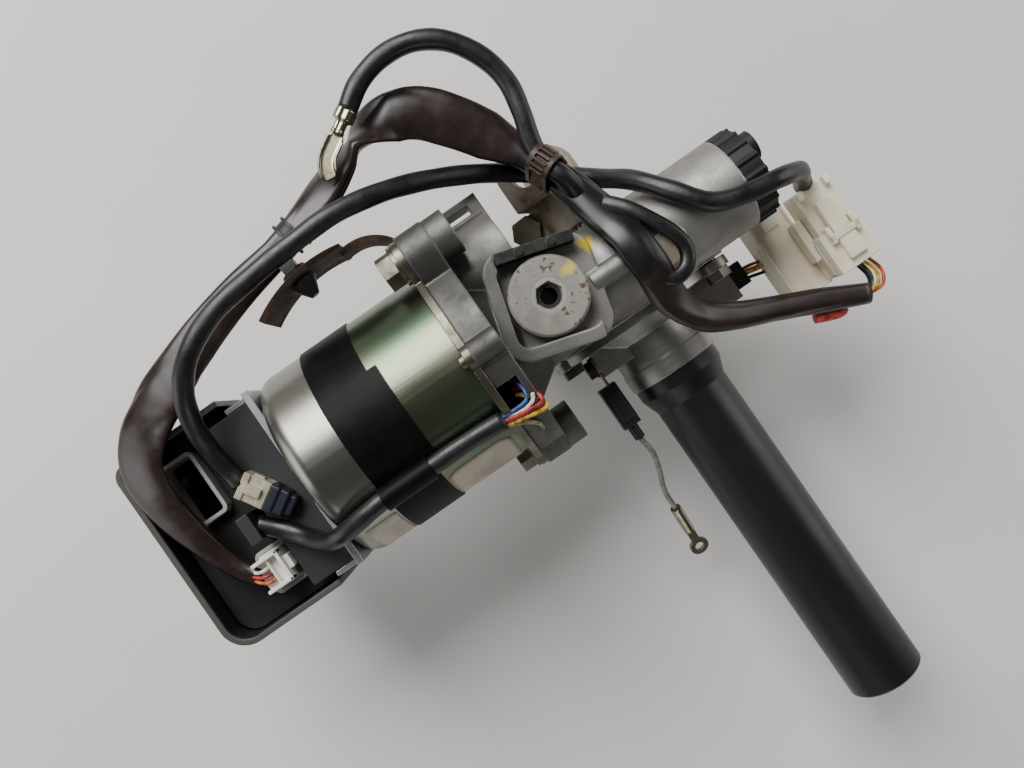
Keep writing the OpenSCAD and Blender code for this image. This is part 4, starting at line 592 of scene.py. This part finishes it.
# Column jacket: drawn steel tube, belled at one end and pressed over the sensor housing's spigot. Its
# electro-coating is an even satin black, with light handling marks and dust.
black_coat = weathered(
    "satin_black_coating", [(0.3, "#0a0a0a"), (0.55, "#0e0e0e"), (0.8, "#151515")],
    blotch_mm=45, grain_mm=1.4, bump_mm=0.035, rough=0.38, swing=0.06, edge="#1f1f1f", edge_mm=0.5)[0]
dress(black_coat, "column_tube")

# Pivot discs: plated steel bushes in the casting's pocket and in the boss below it. The zinc has gone a
# dull white, with brown rust specks in clusters and a dab of yellow marking paint on the upper disc.
plated, tree, shader, colour = weathered(
    "dull_zinc_plate", [(0.3, "#6a6660"), (0.5, "#807d75"), (0.75, "#8f8c84")],
    blotch_mm=9, grain_mm=0.6, bump_mm=0.05, rough=0.5, swing=0.08, edge="#bdbab1", edge_mm=0.6)
place = put(tree, "ShaderNodeTexCoord").outputs["Object"]
speck = put(tree, "ShaderNodeTexNoise", {
    "Vector": place, "Scale": 1000 / 2.6, "Detail": 4.0, "Roughness": 0.6})
spread = put(tree, "ShaderNodeTexNoise", {"Vector": place, "Scale": 1000 / 11, "Detail": 2.0})
both = put(tree, "ShaderNodeMath", {0: speck, 1: spread}, operation="MULTIPLY")
rusty = put(tree, "ShaderNodeMapRange", {
    "Value": both, "From Min": 0.345, "From Max": 0.385, "To Min": 0.0, "To Max": 0.95})
rust = put(tree, "ShaderNodeValToRGB", {"Fac": speck}, [(0.45, "#634a33"), (0.8, "#35251a")])
tint = put(tree, "ShaderNodeMix", {"Factor": rusty, "A": colour, "B": rust}, data_type="RGBA")
dab_middle = (0.0125, 0.0045, 0.001)
dab = put(tree, "ShaderNodeVectorMath", {0: place, 1: dab_middle}, operation="DISTANCE")
frayed = put(tree, "ShaderNodeMath", {0: spread, 1: 0.012, 2: -0.006}, operation="MULTIPLY_ADD")
edge = put(tree, "ShaderNodeMath", {0: dab, 1: frayed}, operation="ADD")
paint = put(tree, "ShaderNodeMapRange", {
    "Value": edge, "From Min": 0.0044, "From Max": 0.0022, "To Min": 0.0, "To Max": 0.75})
dabbed = put(tree, "ShaderNodeMix", {"Factor": paint, "A": tint, "B": linear("#cdb84a")}, data_type="RGBA")
feed(shader, {"Base Color": dabbed})
dress(plated, "pivot_bushes")

# Pivot inserts: threaded steel inserts with a hexagon mouth, whose heads sit in the discs. They are plated
# like the discs, and black within about 5 mm of their axis, inside the hexagon and the thread.
insert, tree, shader, colour = weathered(
    "zinc_plate_black_core", [(0.3, "#77746d"), (0.5, "#8f8c84"), (0.75, "#a09d95")],
    blotch_mm=5, grain_mm=0.5, bump_mm=0.05, rough=0.5, swing=0.08, edge="#b5b2aa", edge_mm=0.4)
place = put(tree, "ShaderNodeTexCoord").outputs["Object"]
flat = put(tree, "ShaderNodeVectorMath", {0: place, 1: (1.0, 1.0, 0.0)}, operation="MULTIPLY")
out = put(tree, "ShaderNodeVectorMath", {0: flat}, operation="LENGTH")
axis_black = put(tree, "ShaderNodeMapRange", {
    "Value": out, "From Min": 0.0054, "From Max": 0.0046, "To Min": 0.0, "To Max": 1.0})
tint = put(tree, "ShaderNodeMix", {"Factor": axis_black, "A": colour, "B": linear("#0e0e0d")}, data_type="RGBA")
feed(shader, {"Base Color": tint})
dress(insert, "pivot_inserts")

# Stop bar along the pivot's pocket and the ground screw: steel, phosphated and oiled, which makes it an
# even dark grey with a soft shine and paler rubbed edges.
dark_steel = weathered(
    "phosphated_steel", [(0.3, "#2a2a29"), (0.55, "#393937"), (0.8, "#4d4d4a")], metallic=1.0,
    blotch_mm=6, grain_mm=0.5, bump_mm=0.05, rough=0.5, swing=0.08, edge="#787875", edge_mm=0.5)[0]
dress(dark_steel, "pivot_stop_bar", "ground_screw")

# Motor can: deep-drawn steel, zinc plated and passivated, so that faint green, yellow and pink tints drift
# round it. The drawing has left lines along its axis, here drawn coarser than the real ones.
chromate, tree, shader = surface("passivated_zinc_can", {"Metallic": 1.0})
place = put(tree, "ShaderNodeTexCoord").outputs["Object"]
stretch = put(tree, "ShaderNodeMapping", {"Vector": place, "Scale": (0.35, 1.0, 1.0)})
drift = put(tree, "ShaderNodeTexNoise", {
    "Vector": stretch, "Scale": 1000 / 38, "Detail": 3.0, "Roughness": 0.5})
tinted = put(tree, "ShaderNodeValToRGB", {"Fac": drift}, [
    (0.25, "#5c5c51"), (0.42, "#6b6e5d"), (0.5, "#63785f"), (0.58, "#717560"), (0.66, "#7b765c"),
    (0.75, "#7f7167")])
# Behind the tape the can is painted brighter and untinted, a painted highlight on its rear shoulder
spot = put(tree, "ShaderNodeSeparateXYZ", {"Vector": place})
# Painted highlight: the rear of the can, past the tape, blends to a pale untinted zinc
rear = put(tree, "ShaderNodeMapRange", {
    "Value": spot.outputs["X"], "From Min": -0.086, "From Max": -0.094, "To Min": 0.0, "To Max": 0.85})
untinted_highlight = put(tree, "ShaderNodeMix", {"Factor": rear, "A": tinted, "B": linear("#8f8d87")}, data_type="RGBA")
stain = put(tree, "ShaderNodeTexNoise", {"Vector": place, "Scale": 1000 / 5, "Detail": 6.0, "Roughness": 0.7})
dirty = put(tree, "ShaderNodeMapRange", {
    "Value": stain, "From Min": 0.58, "From Max": 0.75, "To Min": 0.0, "To Max": 0.45})
tint = put(tree, "ShaderNodeMix", {"Factor": dirty, "A": untinted_highlight, "B": linear("#6d6455")}, data_type="RGBA")
lines = put(tree, "ShaderNodeMapping", {"Vector": place, "Scale": (0.04, 1.0, 1.0)})
drawn = put(tree, "ShaderNodeTexNoise", {"Vector": lines, "Scale": 1000 / 0.9, "Detail": 2.0})
sheen = put(tree, "ShaderNodeMapRange", {
    "Value": drift, "From Min": 0.3, "From Max": 0.7, "To Min": 0.27, "To Max": 0.36})
soft = put(tree, "ShaderNodeBevel", {"Radius": 0.0008}, samples=4)
relief = put(tree, "ShaderNodeBump", {"Height": drawn, "Normal": soft, "Strength": 0.3, "Distance": 0.00008})
feed(shader, {"Base Color": tint, "Roughness": sheen, "Normal": relief})
dress(chromate, "motor_can")

# Motor end plate, bolts and screws: pressed and cold-headed steel, zinc plated. The plating has turned a
# warm uneven grey and shines only where tools have rubbed its edges.
zinc_steel = weathered(
    "zinc_plated_steel", [(0.25, "#4b483e"), (0.5, "#686559"), (0.75, "#7f7c70")], metallic=1.0,
    blotch_mm=7, grain_mm=0.7, bump_mm=0.06, rough=0.4, swing=0.1, edge="#a09d92", edge_mm=0.5)[0]
dress(zinc_steel, "motor_end_plate", "motor_bolts", "pan_screws", "housing_bolts", "yoke_bolt")

# Tape: soft vinyl tape wound round the can over the motor lead. It is deep black with a dull gloss, and
# slightly wrinkled where it was stretched.
vinyl_tape, tree, shader = surface("black_vinyl_tape", {
    "IOR": 1.5, "Roughness": 0.45, "Specular IOR Level": 0.1})
place = put(tree, "ShaderNodeTexCoord").outputs["Object"]
wrinkle = put(tree, "ShaderNodeTexNoise", {"Vector": place, "Scale": 1000 / 7, "Detail": 3.0})
shade = put(tree, "ShaderNodeValToRGB", {"Fac": wrinkle}, [(0.3, "#060606"), (0.75, "#0e0e0e")])
relief = put(tree, "ShaderNodeBump", {"Height": wrinkle, "Strength": 0.3, "Distance": 0.0006})
feed(shader, {"Base Color": shade, "Normal": relief})
dress(vinyl_tape, "motor_tape")


# Labels: a plain paper label along the can's underside, in two lengths beside the tape, and a plain
# round-ended one on the worm tube. All are bare, and each is a thin sheet stuck round its cylinder.
def curved_label(name, x0, x1, low, high, radius, corner):
    """Thin sheet on a cylinder about the worm axis, between two angles from the top, with cut corners."""
    worm_height, thickness, columns, rows = 42, 0.12, 14, 18
    corner_start = 0.7
    grid = bmesh.new()
    layers = []
    for lift in (0.0, thickness):
        sheet = []
        for i in range(columns + 1):
            share = i / columns
            inset = corner * max(0.0, abs(2 * share - 1) - corner_start) / (1 - corner_start)
            line = []
            for j in range(rows + 1):
                a = math.radians(low + inset + (high - low - 2 * inset) * j / rows)
                r = radius + lift
                line.append(grid.verts.new(from_column(
                    x0 + (x1 - x0) * share, -r * math.sin(a), worm_height + r * math.cos(a))))
            sheet.append(line)
        layers.append(sheet)
    for sheet, flip in ((layers[0], True), (layers[1], False)):
        for i in range(columns):
            for j in range(rows):
                quad = [sheet[i][j], sheet[i + 1][j], sheet[i + 1][j + 1], sheet[i][j + 1]]
                grid.faces.new(quad[::-1] if flip else quad).smooth = True
    rims = [[s[i][0] for i in range(columns + 1)] + [s[columns][j] for j in range(1, rows + 1)]
            + [s[i][rows] for i in range(columns - 1, -1, -1)] + [s[0][j] for j in range(rows - 1, 0, -1)]
            for s in layers]
    for k in range(len(rims[0])):
        after = (k + 1) % len(rims[0])
        grid.faces.new((rims[0][k], rims[0][after], rims[1][after], rims[1][k]))
    return grid_into_scene(name, grid)


# Coated paper, aged: matt, yellowed in soft patches, with a fibre drawn coarser than the real one
aged_paper, tree, shader = surface("aged_label_paper", {"Roughness": 0.6})
place = put(tree, "ShaderNodeTexCoord").outputs["Object"]
age = put(tree, "ShaderNodeTexNoise", {"Vector": place, "Scale": 1000 / 16, "Detail": 6.0, "Roughness": 0.65})
yellowed = put(tree, "ShaderNodeValToRGB", {"Fac": age},
               [(0.3, "#9c9080"), (0.5, "#b8ad9c"), (0.7, "#c6bdae")])
fibre = put(tree, "ShaderNodeTexNoise", {"Vector": place, "Scale": 1000 / 0.7, "Detail": 3.0})
relief = put(tree, "ShaderNodeBump", {"Height": fibre, "Strength": 0.3, "Distance": 0.0001})
feed(shader, {"Base Color": yellowed, "Normal": relief})
can_radius, worm_tube_radius = 42.55, 20.55
labels = [curved_label("can_label_rear", -145, -131, 48, 112, can_radius, corner=0),
          curved_label("can_label_front", -107, -78, 48, 112, can_radius, corner=3),
          curved_label("tube_label", 10, 25, 2, 44, worm_tube_radius, corner=12)]
for label in labels:
    label.data.materials.append(aged_paper)
    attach(label, "housing")

# Black mouldings: the worm's ribbed end cap, the harness clip, the sensor plug, the ground block and the
# seal. Glass-filled nylon with a fine matt grain, greyer along its edges.
black_nylon = weathered(
    "black_glass_filled_nylon", [(0.3, "#090909"), (0.55, "#0e0e0e"), (0.8, "#161616")],
    blotch_mm=22, grain_mm=0.6, bump_mm=0.05, rough=0.48, swing=0.06, edge="#4a4a49", edge_mm=0.6)[0]
dress(black_nylon, "worm_end_cap", "cable_clip", "sensor_plug", "ground_block", "output_seal")

# Control unit: a circuit board on a base plate under a moulded cover with two decks, in a moulded tray,
# with two connector shells. A bent aluminium bracket joins it to the motor's tail.
# Dark grey polyester, moulded: matt; the connector deck, 12 mm lower, is painted black, a painted shade
grey_polyester, tree, shader, colour = weathered(
    "dark_grey_polyester", [(0.3, "#1b1c1e"), (0.55, "#242527"), (0.8, "#2e2f31")],
    blotch_mm=18, grain_mm=0.7, bump_mm=0.05, rough=0.5, swing=0.07, edge="#444547", edge_mm=0.7)
place = put(tree, "ShaderNodeTexCoord").outputs["Object"]
height = put(tree, "ShaderNodeSeparateXYZ", {"Vector": place})
# Painted shade: the cover turns black below the upper deck, over the recessed lower deck
low = put(tree, "ShaderNodeMapRange", {
    "Value": height.outputs["Z"], "From Min": -0.019, "From Max": -0.025, "To Min": 0.0, "To Max": 1.0})
tint = put(tree, "ShaderNodeMix", {"Factor": low, "A": colour, "B": linear("#080808")}, data_type="RGBA")
feed(shader, {"Base Color": tint})
dress(grey_polyester, "ecu_cover")
# Black nylon, moulded: satin, with a painted highlight on the tray's rim: its top 2 mm and edges painted grey
black_nylon_lit_rim, tree, shader, colour = weathered(
    "black_nylon_rim_highlight", [(0.3, "#0a0a0a"), (0.55, "#101010"), (0.8, "#1a1a19")],
    blotch_mm=22, grain_mm=0.6, bump_mm=0.05, rough=0.42, swing=0.06, edge="#5d5c59", edge_mm=1.0)
place = put(tree, "ShaderNodeTexCoord").outputs["Object"]
height = put(tree, "ShaderNodeSeparateXYZ", {"Vector": place})
# Painted highlight: grey over the top 2 mm of the tray's rim
rim_highlight = put(tree, "ShaderNodeMapRange", {
    "Value": height.outputs["Z"], "From Min": -0.0180, "From Max": -0.0158, "To Min": 0.0, "To Max": 0.8})
tint = put(tree, "ShaderNodeMix", {"Factor": rim_highlight, "A": colour, "B": linear("#4a4946")}, data_type="RGBA")
feed(shader, {"Base Color": tint})
dress(black_nylon_lit_rim, "ecu_tray")
# Light grey polyester, moulded: clean, even and half matt, because the cover protects it
shell_grey = weathered(
    "light_grey_polyester", [(0.3, "#8d8e8a"), (0.7, "#b0b0ab")],
    blotch_mm=10, grain_mm=0.5, bump_mm=0.03, rough=0.45, swing=0.05, edge="#c4c4c0", edge_mm=0.5)[0]
dress(shell_grey, "ecu_sockets")
# Aluminium sheet as it leaves the mill: bright, silvery and nearly smooth
mill_aluminium = weathered(
    "mill_finish_aluminium", [(0.3, "#a9abac"), (0.7, "#c9cacb")], metallic=1.0,
    blotch_mm=14, grain_mm=0.6, bump_mm=0.03, rough=0.36, swing=0.07, edge="#dcdcdc", edge_mm=0.4)[0]
dress(mill_aluminium, "ecu_bracket", "ecu_base")
# Solder mask, printed on the board and cured: deep green and glossy
board_green = weathered(
    "green_solder_mask", [(0.3, "#0b1a0f"), (0.7, "#143019")],
    blotch_mm=6, grain_mm=0.5, bump_mm=0.03, rough=0.35, swing=0.05)[0]
dress(board_green, "ecu_board")

# Cable bracket: a mild steel strap, bent and screwed to the casting's lug, that holds the harness clip.
# It was never painted, and rough scabs of brown and orange rust cover it.
rusted = weathered(
    "rusted_mild_steel", [(0.3, "#241a15"), (0.45, "#3f2b21"), (0.55, "#573d2e"), (0.75, "#7c6c5d")],
    blotch_mm=11, grain_mm=0.7, bump_mm=0.2, rough=0.8, swing=0.08, edge="#7d5f48", edge_mm=0.6)[0]
dress(rusted, "cable_bracket")


# Loom ties: a brown releasable nylon tie with ladder teeth that holds the power lead on the loom, and a
# plain black band near the clip. Both are moulded flat and pulled tight.
def tie_band(name, start, end, share, circles, width_mm, toothed):
    """Band across a run of the loom, round circles given as (rise, radius) in millimetres."""
    ahead = (end - start).normalized()
    side = ahead.cross(Vector((0, 0, 1))).normalized()
    up = side.cross(ahead)
    # Place across the width, and millimetres above the loom; the ladder's teeth stand highest
    profile = ((-0.5, 0.0), (-0.5, 1.2), (-0.3, 1.2), (-0.3, 1.8),
               (0.3, 1.8), (0.3, 1.2), (0.5, 1.2), (0.5, 0.0))
    tooth_floor, sides = 0.2, 96
    verts = []
    for k in range(sides):
        a = 2 * math.pi * k / sides
        rise, radius = max(circles, key=lambda c: c[0] * math.sin(a) + c[1])
        on_tooth = toothed and math.sin(a) > -0.2 and k % 6 < 3
        for across, lift in profile:
            out = radius + (lift if on_tooth or lift < 1.3 else tooth_floor)
            spot = ahead * (across * width_mm) + side * (out * math.cos(a)) + up * (rise + out * math.sin(a))
            verts.append(start.lerp(end, share) + spot / 1000)
    n = len(profile)
    faces = [(k * n + j, k * n + (j + 1) % n, ((k + 1) % sides) * n + (j + 1) % n, ((k + 1) % sides) * n + j)
             for k in range(sides) for j in range(n)]
    mesh = bpy.data.meshes.new(name)
    mesh.from_pydata(verts, [], faces)
    mesh.update()
    return into_scene(name, mesh)


# Brown nylon, moulded: half matt, paler on the tips of its teeth
tie_nylon = weathered(
    "brown_nylon_tie", [(0.3, "#2a1d18"), (0.7, "#463429")],
    blotch_mm=8, grain_mm=0.6, bump_mm=0.05, rough=0.5, swing=0.05, edge="#6b5543", edge_mm=0.4)[0]
release_tie = tie_band("releasable_tie", *course((-8, 55, 50), (-2, 38, 53)), 0.5,
                       circles=((0.0, 6.4), (10.6, 4.8)), width_mm=10, toothed=True)
plain_tie = tie_band("plain_tie", *course((-114, 80, 58), (-98, 84, 58)), 0.6,
                     circles=((0.0, 6.6),), width_mm=6, toothed=False)
for tie, nylon, tie_slot in ((release_tie, tie_nylon, "brown_plastic"),
                             (plain_tie, black_nylon, "black_plastic")):
    tie.data.materials.append(nylon)
    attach(tie, "housing")
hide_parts("harness_ties")

# White plug in the control unit's smaller socket: moulded nylon, open towards the loom, with a latch.
# The nylon is clean white with a slight gloss.
white_nylon = weathered(
    "natural_white_nylon", [(0.3, "#cfcdc2"), (0.55, "#e2e0d7"), (0.8, "#ebe9e2")],
    blotch_mm=14, grain_mm=0.5, bump_mm=0.03, rough=0.38, swing=0.05, edge="#f2f1ec", edge_mm=0.6)[0]
ecu_plug = moulding("white_plug_housing", (
    ((-193, -32, 35), (-181, -16, 47)), ((-193, -31, 46), (-181, -17, 56)),
    ((-193, -31, 55), (-181, -29.4, 60.5)), ((-193, -18.6, 55), (-181, -17, 60.5)),
    ((-182.6, -31, 55), (-181, -17, 60.5)), ((-187.5, -31, 55), (-186.5, -17, 59)),
    ((-181.5, -27, 48), (-179, -21, 57))), rounding_mm=0.4)
ecu_plug.data.materials.append(white_nylon)
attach(ecu_plug, "housing")
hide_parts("ecu_plug")

# In-line coupler on the signal cable: a cream half with a latch tongue and a dark blue hooded half, both
# moulded nylon. The cream one has yellowed and the blue one has a soft sheen.
coupler_turn, coupler_start = math.atan2(-21, 13), (-177, 12, 60)
cream_nylon = weathered(
    "cream_nylon", [(0.3, "#8d866f"), (0.7, "#b5ad96")],
    blotch_mm=10, grain_mm=0.5, bump_mm=0.03, rough=0.42, swing=0.05, edge="#e5dfcd", edge_mm=0.5)[0]
cream_half = moulding("coupler_cream_half", (
    ((0, -5.5, -5.5), (12, 5.5, 3.2)), ((0, -5.5, 2.6), (3, 5.5, 4)), ((8.5, -5.5, 2.6), (12, 5.5, 4)),
    ((2, -2, 2.6), (9.5, 2, 5.6)), ((3.4, -6.1, -3), (8, -5, 1)), ((3.4, 5, -3), (8, 6.1, 1))),
    rounding_mm=0.4, turn=coupler_turn, about=coupler_start)
cream_half.data.materials.append(cream_nylon)
blue_half = moulding("coupler_blue_half", (
    ((11.6, -5.6, -5.8), (16, 5.6, 4.6)), ((15, -5.2, -5.8), (20, 5.2, 3.6)),
    ((19, -4.2, -5.8), (23, 4.2, 1.6)), ((12.5, -6.2, -4), (15, 6.2, 3))),
    rounding_mm=0.9, turn=coupler_turn, about=coupler_start)
blue_nylon = weathered(
    "dark_blue_nylon", [(0.3, "#0c1018"), (0.55, "#131926"), (0.8, "#1d2536")],
    blotch_mm=9, grain_mm=0.5, bump_mm=0.03, rough=0.42, swing=0.06, edge="#3a465c", edge_mm=0.5)[0]
blue_half.data.materials.append(blue_nylon)
for half in (cream_half, blue_half):
    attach(half, "housing")
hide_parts("sensor_coupler")

# Yoke, shafts and gear: the yoke is forged and clamped on the output shaft's splines, and the turned
# pieces are machined steel.
# Forged steel, bare: pale grey oxide that brown rust has bloomed over, worst along its edges
forged = weathered(
    "forged_steel_rust_bloom",
    [(0.28, "#56341f"), (0.38, "#7b6047"), (0.46, "#887e6e"), (0.6, "#999184"), (0.8, "#a7a094")],
    blotch_mm=13, grain_mm=0.9, bump_mm=0.25, rough=0.66, swing=0.1, edge="#7c4a2e", edge_mm=1.3)[0]
dress(forged, "yoke")
# Machined steel, oiled: grey and fairly bright, with darker stains
machined = weathered(
    "machined_steel", [(0.3, "#6f6e6b"), (0.7, "#a2a09b")], metallic=1.0,
    blotch_mm=8, grain_mm=0.6, bump_mm=0.05, rough=0.38, swing=0.08, edge="#bdbcb8", edge_mm=0.4)[0]
dress(machined, "output_shaft", "torsion_bar", "steering_shaft", "rotor_shaft", "shaft_coupling", "worm",
      "wheel_hub")

# Tinned terminals: the ground ring and its tongue, stamped from brass strip, and the power lead's crimp
# and tongue. The tin is smooth and bright, with a warm tone and dull patches.
# Its rounded edges are painted paler, a painted highlight along them
tinned = weathered(
    "tinned_brass", [(0.3, "#6d6853"), (0.5, "#938d77"), (0.7, "#aea892")], metallic=1.0,
    blotch_mm=9, grain_mm=1.6, bump_mm=0.03, rough=0.22, swing=0.06, edge="#d2cdbb", edge_mm=0.4)[0]
dress(tinned, "ground_tongue", "ground_terminal")
for piece in (lead_crimp, lead_tongue):
    piece.data.materials.append(tinned)

# Inner pieces, which show only when the unit is opened: bearings, magnets, torque ring, windings, brush
# plate, and the moulded nylon wheel rim and tube bush.
# Bearing steel, hardened and ground: bright, cool and even
ground_steel = weathered(
    "ground_bearing_steel", [(0.3, "#9fa1a3"), (0.7, "#c3c5c7")], metallic=1.0,
    blotch_mm=10, grain_mm=0.6, bump_mm=0.02, rough=0.22, swing=0.05)[0]
dress(ground_steel, "bearing_outer_rings", "bearing_balls", "needle_bush", "output_bearing_ring",
      "rotor_bearing_rings")
# Ferrite, sintered: matt charcoal
ferrite = weathered(
    "sintered_ferrite", [(0.3, "#2a2828"), (0.7, "#444141")],
    blotch_mm=6, grain_mm=0.6, bump_mm=0.05, rough=0.6, swing=0.05)[0]
dress(ferrite, "motor_magnets", "torque_ring")
# Copper wire dipped in varnish: amber brown, with a wet gloss
varnished = weathered(
    "varnished_winding", [(0.3, "#5a3319"), (0.7, "#8a532b")],
    blotch_mm=4, grain_mm=0.6, bump_mm=0.1, rough=0.4, swing=0.08)[0]
dress(varnished, "armature", "torque_coil", "brush_plate")
dress(cream_nylon, "tube_bush", "wheel_rim")
